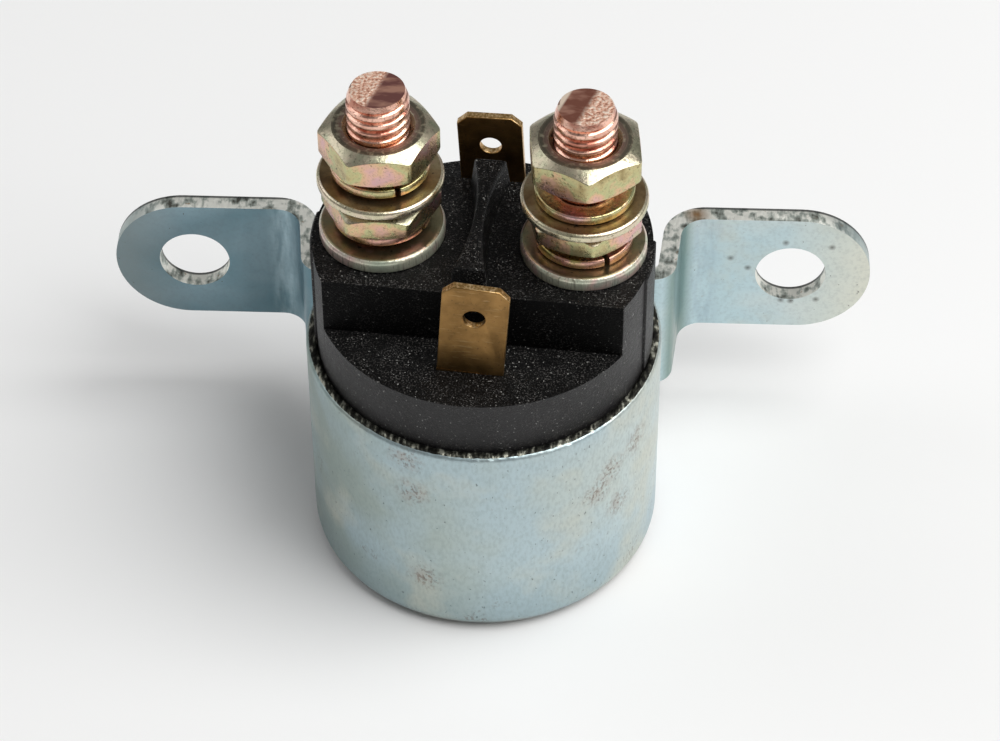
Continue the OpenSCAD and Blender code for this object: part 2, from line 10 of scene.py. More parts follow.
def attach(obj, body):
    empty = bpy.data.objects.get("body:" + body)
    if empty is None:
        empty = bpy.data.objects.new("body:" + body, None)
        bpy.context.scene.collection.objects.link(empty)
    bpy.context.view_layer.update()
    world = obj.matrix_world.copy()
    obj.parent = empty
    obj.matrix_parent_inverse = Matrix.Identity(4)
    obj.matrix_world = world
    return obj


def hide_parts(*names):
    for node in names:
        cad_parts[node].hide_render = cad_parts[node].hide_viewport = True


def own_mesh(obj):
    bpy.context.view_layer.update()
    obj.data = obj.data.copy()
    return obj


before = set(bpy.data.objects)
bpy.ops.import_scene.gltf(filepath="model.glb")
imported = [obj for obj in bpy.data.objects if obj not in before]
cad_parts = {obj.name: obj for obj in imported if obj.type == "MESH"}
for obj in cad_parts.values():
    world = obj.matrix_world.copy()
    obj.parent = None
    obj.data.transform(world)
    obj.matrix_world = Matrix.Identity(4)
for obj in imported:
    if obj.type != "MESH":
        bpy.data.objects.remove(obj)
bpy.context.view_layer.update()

# Can
# A cup drawn from steel sheet and zinc plated. Its rim is rolled in over the cap's flange, which leaves the
# sheet's torn edge showing as a rough ring. That ring is painted near black, as painted shade and a painted
# reflection of the black cap, with pale grains as painted glints.

mm = 0.001
can_r = 17.3
can_corner = 2.0
can_wall = 0.8
lip_top = 24.8
lip_under = 23.85
lip_edge = 0.6
lip_in_r = 16.2
lip_round = 0.2
lip_bend = 0.25
can_sides = 480
wall_rings = range(6, 23, 4)
margin = 0.1


def start():
    """Goes back to object mode with nothing selected."""
    if bpy.context.mode != "OBJECT":
        bpy.ops.object.mode_set(mode="OBJECT")
    bpy.ops.object.select_all(action="DESELECT")


def take(piece):
    """Makes the piece the one that operators act on."""
    start()
    piece.select_set(True)
    bpy.context.view_layer.objects.active = piece


def arc(cx, cz, r, first, last, steps):
    """Points of an arc, its angles in degrees."""
    angles = [math.radians(first + (last - first) * i / steps) for i in range(steps + 1)]
    return [(cx + r * math.cos(a), cz + r * math.sin(a)) for a in angles]


def draw(name, points, closed):
    """Draws a line from point to point, given in millimetres across and up, and stays in edit mode."""
    start()
    bpy.ops.mesh.primitive_plane_add(size=mm, location=(0, 0, 0))
    bpy.context.object.name = name
    bpy.ops.object.mode_set(mode="EDIT")
    bpy.ops.mesh.select_mode(type="VERT")
    bpy.ops.mesh.select_all(action="SELECT")
    bpy.ops.mesh.merge(type="CENTER")
    corners = [Vector((x * mm, 0, z * mm)) for x, z in points]
    bpy.ops.transform.translate(value=corners[0])
    ends = corners[1:] + (corners[:1] if closed else [])
    for here, there in zip(corners, ends):
        bpy.ops.mesh.extrude_region_move(TRANSFORM_OT_translate={"value": there - here})
    bpy.ops.mesh.select_all(action="SELECT")
    bpy.ops.mesh.remove_doubles(threshold=mm / 500)
    return bpy.context.object


def finish_mesh(piece, angle=35):
    """Closes the seams of a piece, turns its faces outwards and shades its round parts smooth."""
    take(piece)
    bpy.ops.object.mode_set(mode="EDIT")
    bpy.ops.mesh.select_mode(type="VERT")
    bpy.ops.mesh.select_all(action="SELECT")
    bpy.ops.mesh.remove_doubles(threshold=mm / 1000)
    bpy.ops.mesh.normals_make_consistent(inside=False)
    bpy.ops.object.mode_set(mode="OBJECT")
    bpy.ops.object.shade_smooth_by_angle(angle=math.radians(angle))
    return piece


def spin(name, points, sides, closed=True):
    """A round body about the Z axis from its outline of radius and height."""
    piece = draw(name, points, closed)
    bpy.ops.mesh.select_all(action="SELECT")
    bpy.ops.mesh.spin(steps=sides, angle=2 * math.pi, center=(0, 0, 0), axis=(0, 0, 1))
    return finish_mesh(piece)


def pick(kind, test):
    """Selects the faces, edges or points of the piece in edit mode that pass a test on place and normal."""
    bpy.ops.mesh.select_mode(type=kind)
    bpy.ops.mesh.select_all(action="DESELECT")
    shape = bmesh.from_edit_mesh(bpy.context.object.data)
    for item in {"FACE": shape.faces, "EDGE": shape.edges, "VERT": shape.verts}[kind]:
        corners = [item] if kind == "VERT" else item.verts
        place = sum((corner.co for corner in corners), Vector()) / len(corners)
        normal = sum((corner.normal for corner in item.verts), Vector()) if kind == "EDGE" else item.normal
        item.select_set(bool(test(place / mm, normal)))
    shape.select_flush_mode()
    bmesh.update_edit_mesh(bpy.context.object.data)


def paint_faces(piece, finish, test):
    """Gives the faces that pass the test another of the piece's finishes."""
    take(piece)
    bpy.ops.object.mode_set(mode="EDIT")
    pick("FACE", test)
    piece.active_material_index = finish
    bpy.ops.object.material_slot_assign()
    bpy.ops.object.mode_set(mode="OBJECT")


class Signal:
    """A value in a finish. Sums and products of values are written as such and become its Math nodes."""

    def __init__(self, finish, socket):
        self.finish = finish
        self.socket = socket

    def pair(self, how, one, other):
        """A Math node on two values."""
        return self.finish.node("ShaderNodeMath", {"operation": how}, {0: one, 1: other})

    def __add__(self, other):
        return self.pair("ADD", self, other)

    def __radd__(self, other):
        return self.pair("ADD", other, self)

    def __sub__(self, other):
        return self.pair("SUBTRACT", self, other)

    def __rsub__(self, other):
        return self.pair("SUBTRACT", other, self)

    def __mul__(self, other):
        return self.pair("MULTIPLY", self, other)

    def __rmul__(self, other):
        return self.pair("MULTIPLY", other, self)

    def rise(self, low, high):
        """0 below the first value, 1 above the second."""
        return self.finish.node("ShaderNodeMapRange", {}, {"Value": self, "From Min": low, "From Max": high})


class Finish:
    """A material with one shader, of which the constant parts are set on the shader itself."""

    def __init__(self, name, metallic, roughness, specular=0.5):
        self.material = bpy.data.materials.new(name)
        self.material.use_nodes = True
        self.shader = self.material.node_tree.nodes["Principled BSDF"]
        self.shader.inputs["Metallic"].default_value = metallic
        self.shader.inputs["Roughness"].default_value = roughness
        self.shader.inputs["Specular IOR Level"].default_value = specular

    def node(self, kind, settings, inputs, out=0):
        """Any node, with its settings first, then the values and links of its sockets."""
        made = self.material.node_tree.nodes.new(kind)
        for key, value in settings.items():
            if key == "stops":
                while len(made.color_ramp.elements) < len(value):
                    made.color_ramp.elements.new(1)
                for element, (position, colour) in zip(made.color_ramp.elements, value):
                    element.position = position
                    element.color = (*colour, 1)
            else:
                setattr(made, key, value)
        for key, value in inputs.items():
            self.join(made.inputs[key], value)
        return Signal(self, made.outputs[out])

    def join(self, socket, value):
        """Links a signal to a socket, or sets a plain value or colour there."""
        if isinstance(value, Signal):
            self.material.node_tree.links.new(value.socket, socket)
        elif socket.type == "RGBA":
            socket.default_value = (*value, 1)
        else:
            socket.default_value = value

    def feed(self, **values):
        """Links values to the shader's sockets, such as Base_Color."""
        for key, value in values.items():
            self.join(self.shader.inputs[key.replace("_", " ")], value)
        return self.material

    def place(self):
        """Where a point lies on the piece, in metres."""
        return self.node("ShaderNodeTexCoord", {}, {}, "Object")

    def along(self, axis):
        """How far along X, Y or Z a point lies, in metres."""
        return self.node("ShaderNodeSeparateXYZ", {}, {0: self.place()}, axis)

    def near(self, spots, wide):
        """1 at each of the spots, given in millimetres, and 0 that far away from all of them."""
        total = 0
        for spot in spots:
            away = self.node("ShaderNodeVectorMath", {"operation": "DISTANCE"},
                             {0: self.place(), 1: [value * mm for value in spot]}, 1)
            total = away.rise(wide * mm, 0) + total
        return total

    def cloud(self, size, detail, stretch=(1, 1, 1), shift=0.0):
        """Soft noise whose blotches are about that many millimetres wide."""
        place = self.node("ShaderNodeMapping", {},
                          {"Vector": self.place(), "Location": (shift, shift, shift), "Scale": stretch})
        return self.node("ShaderNodeTexNoise", {},
                         {"Vector": place, "Scale": 1 / size / mm, "Detail": detail})

    def tint(self, share, one, other):
        """Goes from one colour to the other as the share goes from 0 to 1."""
        return self.node("ShaderNodeMix", {"data_type": "RGBA"}, {0: share, 6: one, 7: other}, 2)

    def ramp(self, value, *stops):
        """A colour for each place of a value, in pairs of place and colour."""
        return self.node("ShaderNodeValToRGB", {"stops": stops}, {"Fac": value})

    def bump(self, height, depth):
        """Relief of that many millimetres."""
        return self.node("ShaderNodeBump", {}, {"Height": height, "Distance": depth * mm})


# From the middle of the bottom up the outside, over the lip and down the inside
outside = (arc(can_r - can_corner, can_corner, can_corner, -90, 0, 12) + [(can_r, z) for z in wall_rings]
           + arc(can_r - lip_edge, lip_top - lip_edge, lip_edge, 0, 90, 8))
torn_rim = [(can_r - can_wall, lip_top), (lip_in_r + lip_round * 0.6, lip_top - lip_round * 0.3),
            (lip_in_r, lip_top - lip_round), (lip_in_r, lip_top - lip_round * 2.5), (lip_in_r, lip_under)]
inside = ([(can_r - can_wall, lip_under)]
          + arc(can_r - can_corner, can_corner, can_corner - can_wall, 0, -90, 8))
can = spin("can_shell", [(0, 0)] + outside + torn_rim + inside + [(0, can_wall)], can_sides, closed=False)


def off_axis(place):
    """How far a point lies from the Z axis."""
    return math.hypot(place.x, place.y)


def on_lip(place, normal):
    """The points of the lip that the tear has left uneven."""
    return off_axis(place) < can_r - margin and place.z > lip_under + lip_edge / 2


take(can)
bpy.ops.object.mode_set(mode="EDIT")
pick("VERT", on_lip)
bpy.ops.transform.vertex_random(offset=0.03 * mm, uniform=1.0, seed=7)

zinc = Finish("can_zinc", 0.85, 0.4)
# Painted light: the zinc is painted darker on the left, where the floor it reflects lies in shadow, and
# lighter on the right, where the light falls.
side_light_share = zinc.along("X").rise(-17 * mm, 16 * mm)
base = zinc.tint(side_light_share, (0.3, 0.37, 0.34), (0.61, 0.69, 0.68))
blue = zinc.tint(zinc.cloud(12, 3).rise(0.42, 0.6) * 0.5, base, (0.46, 0.6, 0.68))
shaded = zinc.tint(zinc.along("Z").rise(9 * mm, 0) * 0.55, blue, (0.24, 0.34, 0.38))
warm = zinc.tint(zinc.cloud(7, 4, shift=0.31).rise(0.5, 0.72) * 0.6, shaded, (0.64, 0.63, 0.52))
mottle = zinc.tint(zinc.cloud(0.3, 4, (1, 1, 0.5)).rise(0.42, 0.75) * 0.3, warm, (0.2, 0.25, 0.25))
worn_spots = zinc.near([(-6.8, -15.9, 23.2), (-6.2, -16.2, 18.8), (-5.2, -16.5, 7), (11.4, -13, 16),
                        (12.8, -11.7, 18), (13.5, -10.9, 12.5), (15, -8.6, 19)], 2.2)
patches = zinc.cloud(5, 3, shift=0.17).rise(0.62, 0.7) * 0.7 + worn_spots
specks = zinc.cloud(0.3, 4, (1, 1, 0.7)).rise(0.51, 0.6) * patches
dots = zinc.cloud(0.3, 2, (1, 1, 0.6), 0.4).rise(0.69, 0.74)
clouded = zinc.tint(worn_spots * zinc.cloud(0.9, 3).rise(0.4, 0.6) * 0.45, mottle, (0.42, 0.33, 0.27))
footed = zinc.tint(zinc.along("Z").rise(1.5 * mm, 0.5 * mm) * 0.6, clouded, (0.26, 0.24, 0.21))
worn = zinc.tint(specks * 0.7, footed, (0.2, 0.13, 0.1))
can_colour = zinc.tint(dots * 0.6, worn, (0.08, 0.09, 0.09))
draw_lines = zinc.cloud(0.25, 3, (1, 1, 0.02))
relief = zinc.cloud(0.3, 3) * 0.6 + draw_lines * 0.4 + specks * 0.5
can.data.materials.append(zinc.feed(
    Base_Color=can_colour, Roughness=0.33 + 0.16 * zinc.cloud(3, 3, shift=0.6) + 0.2 * specks,
    Normal=zinc.bump(relief, 0.006)))

torn = Finish("torn_lip", 0.9, 0.45)
shreds = torn.cloud(0.4, 4, (1, 0.35, 0.35))
# Painted shade and glints: the torn steel is painted near black for the shade in the gap and the black cap it
# reflects, with pale grains as painted glints.
torn_rim_shade_and_glints = torn.ramp(shreds, (0.42, (0.015, 0.015, 0.013)), (0.55, (0.08, 0.08, 0.065)),
                        (0.66, (0.5, 0.5, 0.42)))
can.data.materials.append(torn.feed(
    Base_Color=torn_rim_shade_and_glints, Roughness=0.3 + 0.4 * torn.cloud(0.3, 2),
    Normal=torn.bump(torn.cloud(0.4, 4), 0.12)))


def on_torn_rim(place, normal):
    """The faces of the lip, without the bright bend that leads up to it."""
    return off_axis(place) < can_r - lip_bend and place.z > lip_under + margin


paint_faces(can, 1, on_torn_rim)
finish_mesh(can, 30)
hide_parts("can")
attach(can, "frame")

# Mounting strap
# One strip of zinc plated steel behind the can. It is sheared to length with round ends and pierced. Then it
# is bent round the can, back on itself at both folds, and out into the two ears.

strap_t = 1.8
strap_low = 9.3
strap_high = 24.0
strap_mid_z = 16.65
ear_end_x = 38.7
ear_hole_x = 30.6
ear_hole_r = 3.6
saddle_r = can_r + strap_t / 2
saddle_end = 33
fold_r = 1.4
bend_r = 3.5
web_lean = 6
ear_rings = (25, 32)
cutter_depth = 30
punch_depth = 6


def cut(piece, tool, how="DIFFERENCE"):
    """Cuts a piece with a tool, or joins or trims it with one, and takes the tool away."""
    take(piece)
    change = piece.modifiers.new("cut", "BOOLEAN")
    change.operation = how
    change.solver = "EXACT"
    change.object = tool
    bpy.ops.object.modifier_apply(modifier=change.name)
    bpy.data.objects.remove(tool, do_unlink=True)


def soften(piece, width, segments, angle):
    """Rounds the edges of a piece that are sharper than the angle."""
    take(piece)
    edges = piece.modifiers.new("edges", "BEVEL")
    edges.width = width * mm
    edges.segments = segments
    edges.limit_method = "ANGLE"
    edges.angle_limit = math.radians(angle)
    bpy.ops.object.modifier_apply(modifier=edges.name)


def lay(piece, matrix):
    """Moves a piece and settles it there."""
    piece.matrix_world = matrix
    take(piece)
    bpy.ops.object.transform_apply(location=True, rotation=True, scale=True)


def raise_up(low, high):
    """Pulls the outline in edit mode up into a wall, from one level to the other."""
    bpy.ops.mesh.select_all(action="SELECT")
    bpy.ops.transform.translate(value=(0, 0, low * mm))
    bpy.ops.mesh.extrude_region_move(TRANSFORM_OT_translate={"value": (0, 0, (high - low) * mm)})


# The strip's middle line seen from above: saddle, fold, web, bend and ear, first on the right. The straight
# web touches both arcs, and the ear lies level with the saddle's back.
fold_x = (saddle_r + fold_r) * math.cos(math.radians(saddle_end))
fold_y = (saddle_r + fold_r) * math.sin(math.radians(saddle_end))
bend_y = saddle_r - bend_r
lean_out = math.radians(web_lean)
bend_x = fold_x + (fold_r + bend_r + (bend_y - fold_y) * math.sin(lean_out)) / math.cos(lean_out)
right_line = (arc(0, 0, saddle_r, 90, saddle_end, 26)[:-1]
              + arc(fold_x, fold_y, fold_r, saddle_end - 180, -web_lean, 16)
              + arc(bend_x, bend_y, bend_r, 180 - web_lean, 90, 14)
              + [(x, saddle_r) for x in (*ear_rings, ear_end_x)])
strip_line = [(-x, y) for x, y in reversed(right_line[1:])] + right_line
strap = draw("mounting_strip", strip_line, False)
bpy.ops.mesh.select_all(action="SELECT")
bpy.ops.transform.rotate(value=math.pi / 2, orient_axis="X", center_override=(0, 0, 0))
raise_up(strap_low, strap_high)
bpy.ops.object.mode_set(mode="OBJECT")
sheet = strap.modifiers.new("sheet", "SOLIDIFY")
sheet.thickness = strap_t * mm
sheet.offset = 0
sheet.use_even_offset = True
take(strap)
bpy.ops.object.modifier_apply(modifier=sheet.name)
finish_mesh(strap)

ear_r = (strap_high - strap_low) / 2
outline = (arc(ear_end_x - ear_r, strap_mid_z, ear_r, -90, 90, 40)
           + arc(ear_r - ear_end_x, strap_mid_z, ear_r, 90, 270, 40))
blank = draw("blank", outline, True)
bpy.ops.mesh.edge_face_add()
bpy.ops.mesh.extrude_region_move(TRANSFORM_OT_translate={"value": (0, cutter_depth * mm, 0)})
finish_mesh(blank)
cut(strap, blank, "INTERSECT")
for side in (-1, 1):
    start()
    bpy.ops.mesh.primitive_cylinder_add(vertices=72, radius=ear_hole_r * mm, depth=punch_depth * mm,
                                        location=(side * ear_hole_x * mm, saddle_r * mm, strap_mid_z * mm),
                                        rotation=(math.pi / 2, 0, 0))
    cut(strap, bpy.context.object)
soften(strap, 0.16, segments=3, angle=50)

sheet_zinc = Finish("strap_zinc", 0.9, 0.34)
across = sheet_zinc.along("X")
film = sheet_zinc.cloud(9, 3, (0.6, 1, 1)).rise(0.4, 0.6)
# Painted light: the zinc is painted dark teal on the left, where the can shades the strap, and pale on the
# right, where the light falls.
dull = sheet_zinc.tint(film, (0.16, 0.28, 0.33), (0.24, 0.35, 0.4))
clear = sheet_zinc.tint(film, (0.52, 0.66, 0.7), (0.62, 0.7, 0.7))
side_lit_plating = sheet_zinc.tint(across.rise(-14 * mm, 12 * mm), dull, clear)
far = sheet_zinc.tint(across.rise(30 * mm, 38 * mm) * 0.7, side_lit_plating, (0.8, 0.76, 0.62))
draw_marks = sheet_zinc.cloud(0.7, 3, (1, 1, 0.2), 0.4).rise(0.35, 0.65)
# Painted shade: a dark green band down the hollow of the right bend.
right_bend_shade = across.rise(17.4 * mm, 18.3 * mm) * across.rise(20.8 * mm, 19.6 * mm)
banded = sheet_zinc.tint(right_bend_shade * 0.7, far, (0.14, 0.24, 0.19))
right_marks = across.rise(20 * mm, 21 * mm) * across.rise(24 * mm, 22.5 * mm) * draw_marks
marked = sheet_zinc.tint(right_marks * 0.35, banded, (0.3, 0.4, 0.48))
# Painted highlight: a light blue band down the left bend, broken up by the draw marks.
left_bend_highlight = across.rise(-23 * mm, -21.8 * mm) * across.rise(-19.6 * mm, -20.8 * mm) * draw_marks
bent = sheet_zinc.tint(left_bend_highlight * 0.6, marked, (0.5, 0.66, 0.72))
bare_right = across.rise(-10 * mm, 10 * mm) * sheet_zinc.cloud(6, 4, shift=0.5).rise(0.54, 0.75)
bare = sheet_zinc.tint(bare_right * 0.6, bent, (0.6, 0.6, 0.52))
grain = sheet_zinc.tint(sheet_zinc.cloud(0.35, 4).rise(0.45, 0.75) * 0.2, bare, (0.16, 0.19, 0.2))
left_end = sheet_zinc.tint(across.rise(-31 * mm, -37 * mm) * 0.5, grain, (0.27, 0.27, 0.25))
dents = sheet_zinc.near([(26.2, 17.3, 17.4), (24.4, 17.3, 18.7), (29.8, 17.3, 12.9), (30.8, 17.3, 12.8),
                         (33.4, 17.3, 13.1), (29.9, 17.3, 21), (34.6, 17.3, 20.5)], 0.5).rise(0.1, 1)
grime = sheet_zinc.cloud(0.5, 3, shift=0.2).rise(0.72, 0.76) + dents
rust = sheet_zinc.cloud(2.5, 5, shift=0.9).rise(0.74, 0.78)
rusted = sheet_zinc.tint(rust * 0.6, left_end, (0.3, 0.17, 0.07))
strap_colour = sheet_zinc.tint(grime * 0.8, rusted, (0.07, 0.06, 0.05))
strap.data.materials.append(sheet_zinc.feed(
    Base_Color=strap_colour, Roughness=0.27 + 0.16 * sheet_zinc.cloud(2, 3),
    Normal=sheet_zinc.bump(sheet_zinc.cloud(0.4, 3, (1, 1, 0.3)), 0.006)))

sheared = Finish("sheared_edge", 0.8, 0.4)
streaks = sheared.cloud(0.4, 4, (1, 0.3, 1))
blotches = sheared.cloud(1.4, 4, shift=0.7)
sheared_colour = sheared.ramp(blotches * 0.7 + streaks * 0.3, (0.37, (0.1, 0.1, 0.085)),
                              (0.46, (0.42, 0.46, 0.42)), (0.54, (0.93, 0.93, 0.86)))
rust_spot = sheared.near([(20.8, 18, 23.9)], 1.6)
rust_share = rust_spot + sheared.cloud(0.8, 4, shift=0.2).rise(0.66, 0.72) * 0.6
rusty = sheared.tint(rust_share, sheared_colour, (0.34, 0.19, 0.08))
reach = sheared.node("ShaderNodeMath", {"operation": "ABSOLUTE"}, {0: sheared.along("X")})
greyed = sheared.tint(reach.rise(33.5 * mm, 37 * mm) * 0.8, rusty, (0.34, 0.42, 0.42))
lined = sheared.tint(sheared.along("Y").rise(18.72 * mm, 18.86 * mm) * 0.85, greyed, (0.05, 0.055, 0.055))
strap.data.materials.append(sheared.feed(
    Base_Color=lined, Roughness=0.3 + 0.3 * sheared.cloud(0.4, 2), Normal=sheared.bump(streaks, 0.05)))


def on_sheared_edge(place, normal):
    """The strip's rim all round, and the walls of both holes."""
    beyond = max(abs(place.x) - (ear_end_x - ear_r), 0)
    from_hole = math.hypot(abs(place.x) - ear_hole_x, place.z - strap_mid_z)
    in_hole = from_hole < ear_hole_r + margin / 2 and abs(normal.y) < 0.5
    return math.hypot(beyond, place.z - strap_mid_z) > ear_r - margin or in_hole


paint_faces(strap, 1, on_sheared_edge)
finish_mesh(strap, 40)
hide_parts("mounting_strap")
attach(strap, "frame")

# Terminal cap
# A black thermoset moulding: a flange under the can's lip, two ledges for the blades, and a middle block with
# a waisted barrier between the studs. Its filler shows as fine pale specks where the skin has worn.

cap_r = 16.15
flange_r = 16.45
cap_low = 21.6
core_low = 24
chamber_r = 14
front_ledge = 30.7
rear_ledge = 32.5
block_top = 36.9
block_front = 7.65
block_rear = 8.35
pad_t = 0.25
pad_front = -3.5
pad_rear = 1.9
pad_edge = 0.15
wall_skin = 0.12
rib_top = 39.9
rib_rows = 24
rib_waist = 1.0
rib_flare = 2.1
rib_draft = 0.45
rib_short = 0.3
rib_sunk = 0.3
rib_shift = -0.3
chamber_top = 28.9
pocket_top = 31.2
pocket_half = 4.05
stud_bore_r = 2.97
stud_x = 9.6
blade_w = 6.3
blade_t = 0.8
blade_y = 11.3
blade_low = 26.1
blade_gap = 0.05
overrun = 1.0
cap_sides = 288
# Each blade's name, side of the cap, ledge, shift along X, lean sideways and bend forward
blade_places = (("front", -1, front_ledge, 0.3, 3.8, 0), ("rear", 1, rear_ledge, -0.4, -1.8, 4.7))
cap_turn = Matrix.Rotation(math.radians(-5.3), 4, "Z")


def rod(name, r, low, high, sides):
    """A solid cylinder about the Z axis, from one level to the other."""
    return spin(name, [(0, low), (r, low), (r, high), (0, high)], sides, closed=False)


def slice_off(piece, y, keep):
    """Cuts a piece along the X axis at a place from front to back and keeps what lies on one side."""
    take(piece)
    bpy.ops.object.mode_set(mode="EDIT")
    bpy.ops.mesh.select_all(action="SELECT")
    bpy.ops.mesh.bisect(plane_co=(0, y * mm, 0), plane_no=(0, 1, 0), use_fill=True,
                        clear_inner=keep > 0, clear_outer=keep < 0, threshold=mm / 1000)
    bpy.ops.object.mode_set(mode="OBJECT")


def trim(piece, front, rear):
    """Keeps what lies between two places from front to back."""
    slice_off(piece, front, 1)
    slice_off(piece, rear, -1)


def box(name, low, high):
    """A block between two corners in millimetres."""
    start()
    size = Vector(high) - Vector(low)
    bpy.ops.mesh.primitive_cube_add(size=1, location=(Vector(low) + Vector(high)) / 2 * mm, scale=size * mm)
    bpy.ops.object.transform_apply(location=True, rotation=True, scale=True)
    bpy.context.object.name = name
    return bpy.context.object


def at_ledge(end, ledge, shift, lean):
    """Where a blade stands on the cap before the cap is turned, leaning sideways."""
    return (Matrix.Translation((shift * mm, end * blade_y * mm, ledge * mm))
            @ Matrix.Rotation(math.radians(lean), 4, "Y"))


cap = spin("moulded_cap", [(0, cap_low), (flange_r, cap_low), (flange_r, lip_under), (cap_r, lip_under),
                           (cap_r, front_ledge), (0, front_ledge)], cap_sides, closed=False)
back = rod("rear_ledge", cap_r, core_low, rear_ledge, cap_sides)
slice_off(back, 0, 1)
cut(cap, back, "UNION")
block = rod("block", cap_r, core_low, block_top, cap_sides)
trim(block, -block_front, block_rear)
cut(cap, block, "UNION")
soften(cap, 0.3, segments=3, angle=40)
pad_low = lip_top + 0.05
pad_top = block_top - 0.02
pads = spin("end_pads", [(chamber_r, pad_low), (cap_r + pad_t, pad_low), (cap_r + pad_t, pad_top - pad_edge),
                         (cap_r + pad_t - pad_edge, pad_top), (chamber_r, pad_top)], cap_sides)
trim(pads, pad_front, pad_rear)
soften(pads, 0.08, segments=2, angle=60)
cut(cap, pads, "UNION")

start()
bpy.ops.mesh.primitive_grid_add(x_subdivisions=1, y_subdivisions=rib_rows, size=1, location=(0, 0, 0))
rib = bpy.context.object
rib.name = "barrier_rib"
rib.scale = (2 * mm, 2 * mm, 1)
rib.location = (0, 0, rib_top * mm)
bpy.ops.object.transform_apply(location=True, rotation=True, scale=True)
bpy.ops.object.mode_set(mode="EDIT")
for row in range(rib_rows + 1):
    share = 2 * row / rib_rows - 1
    pick("VERT", lambda place, normal: abs(place.y - share) < 0.01)
    half = (rib_waist + rib_flare * share * share) / 2
    bpy.ops.transform.resize(value=(half, 1, 1), center_override=(0, 0, 0))
for side, length in ((-1, block_front - rib_short), (1, block_rear - rib_short)):
    pick("VERT", lambda place, normal: place.y * side > 0.01)
    bpy.ops.transform.resize(value=(1, length, 1), center_override=(0, 0, 0))
bpy.ops.mesh.select_all(action="SELECT")
rib_foot = block_top - rib_sunk
bpy.ops.mesh.extrude_region_move(TRANSFORM_OT_translate={"value": (0, 0, (rib_foot - rib_top) * mm)})
for side in (-1, 1):
    pick("VERT", lambda place, normal: place.z < rib_foot + margin and place.x * side > 0)
    bpy.ops.transform.translate(value=(side * rib_draft * mm, 0, 0))
finish_mesh(rib)
soften(rib, 0.22, segments=3, angle=50)
finish_mesh(rib)
lay(rib, Matrix.Translation((rib_shift * mm, 0, 0)))
cut(cap, rib, "UNION")

cut(cap, rod("chamber", chamber_r, cap_low - overrun, chamber_top, 144))
pocket = rod("pocket", chamber_r, cap_low - overrun, pocket_top, 144)
trim(pocket, -pocket_half, pocket_half)
cut(cap, pocket)
for side in (-1, 1):
    bore = rod("stud_bore", stud_bore_r, pocket_top - overrun, block_top + overrun, 72)
    lay(bore, Matrix.Translation((side * stud_x * mm, 0, 0)))
    cut(cap, bore)
slot_x = blade_w / 2 + blade_gap
slot_y = blade_t / 2 + blade_gap
for _, end, ledge, shift, lean, _ in blade_places:
    slot = box("blade_slot", (-slot_x, -slot_y, blade_low - ledge), (slot_x, slot_y, overrun))
    lay(slot, at_ledge(end, ledge, shift, lean))
    cut(cap, slot)
lay(cap, cap_turn)
finish_mesh(cap)


def thermoset(name, specular, roughness, share, low, high):
    """Black moulding whose filler shows as pale specks over that share of it."""
    moulding = Finish(name, 0.0, roughness, specular)
    bare_patches = moulding.cloud(2.2, 4, shift=0.3).rise(0.42, 0.6)
    filler = moulding.cloud(0.16, 3).rise(0.55, 0.64) * (0.25 + 0.75 * bare_patches)
    dust = moulding.cloud(0.22, 2, shift=0.6).rise(0.68, 0.73)
    skin_colour = moulding.tint(moulding.cloud(5, 3, shift=0.8).rise(0.35, 0.7), low, high)
    speckled = moulding.tint(filler * share, skin_colour, (0.12, 0.115, 0.11))
    cap.data.materials.append(moulding.feed(
        Base_Color=moulding.tint(dust * share, speckled, (0.65, 0.65, 0.62)),
        Roughness=roughness - 0.15 + 0.3 * moulding.cloud(0.5, 3),
        Normal=moulding.bump(moulding.cloud(0.2, 4) + filler * 0.4, 0.09)))


thermoset("thermoset_top", 0.16, 0.35, 0.8, (0.0006, 0.0006, 0.0007), (0.003, 0.003, 0.003))
thermoset("thermoset_outer_wall", 0.4, 0.45, 0.45, (0.008, 0.0075, 0.008), (0.014, 0.013, 0.014))
thermoset("thermoset_block_wall", 0.08, 0.4, 0.15, (0.0004, 0.0004, 0.0004), (0.0012, 0.0012, 0.0012))


def on_outer_wall(place, normal):
    """The round wall above the flange and the pads' round faces."""
    return off_axis(place) > cap_r - wall_skin and abs(normal.z) < 0.6


def on_block_wall(place, normal):
    """The upright faces of the block that look down on the two ledges."""
    above_ledge = front_ledge - 0.2 < place.z < block_top
    return off_axis(place) < cap_r - wall_skin and abs(normal.z) < 0.3 and above_ledge


paint_faces(cap, 1, on_outer_wall)
paint_faces(cap, 2, on_block_wall)
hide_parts("terminal_cap")
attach(cap, "frame")

# Terminal studs
# Two copper bars with a flat-sided contact head inside the cap and a rolled M6 thread above it. Each was
# sheared off at the top, which leaves one smooth half and one torn half.

stud_r = 2.95
stud_top = 54.5
stud_tip_r = 2.58
stud_tip_h = 1.85
stud_sides = 72
thread_pitch = 1.0
thread_root_r = 2.42
thread_low = 30
thread_turns = 27
head_r = 4.3
head_half = 4.0
head_low = 28.8
head_high = 31.2
shank_r = 2.4
shank_top = 33


def copy_of(piece, name):
    """A second piece with a mesh of its own."""
    take(piece)
    bpy.ops.object.duplicate(linked=False)
    bpy.context.object.name = name
    return bpy.context.object


def on_stud(piece, side, level=0.0, turn=0.0):
    """Sets a piece that was made round the Z axis on one of the two studs, at its level."""
    place = Matrix.Translation((side * stud_x * mm, 0, level * mm))
    lay(piece, cap_turn @ place @ Matrix.Rotation(math.radians(turn), 4, "Z"))


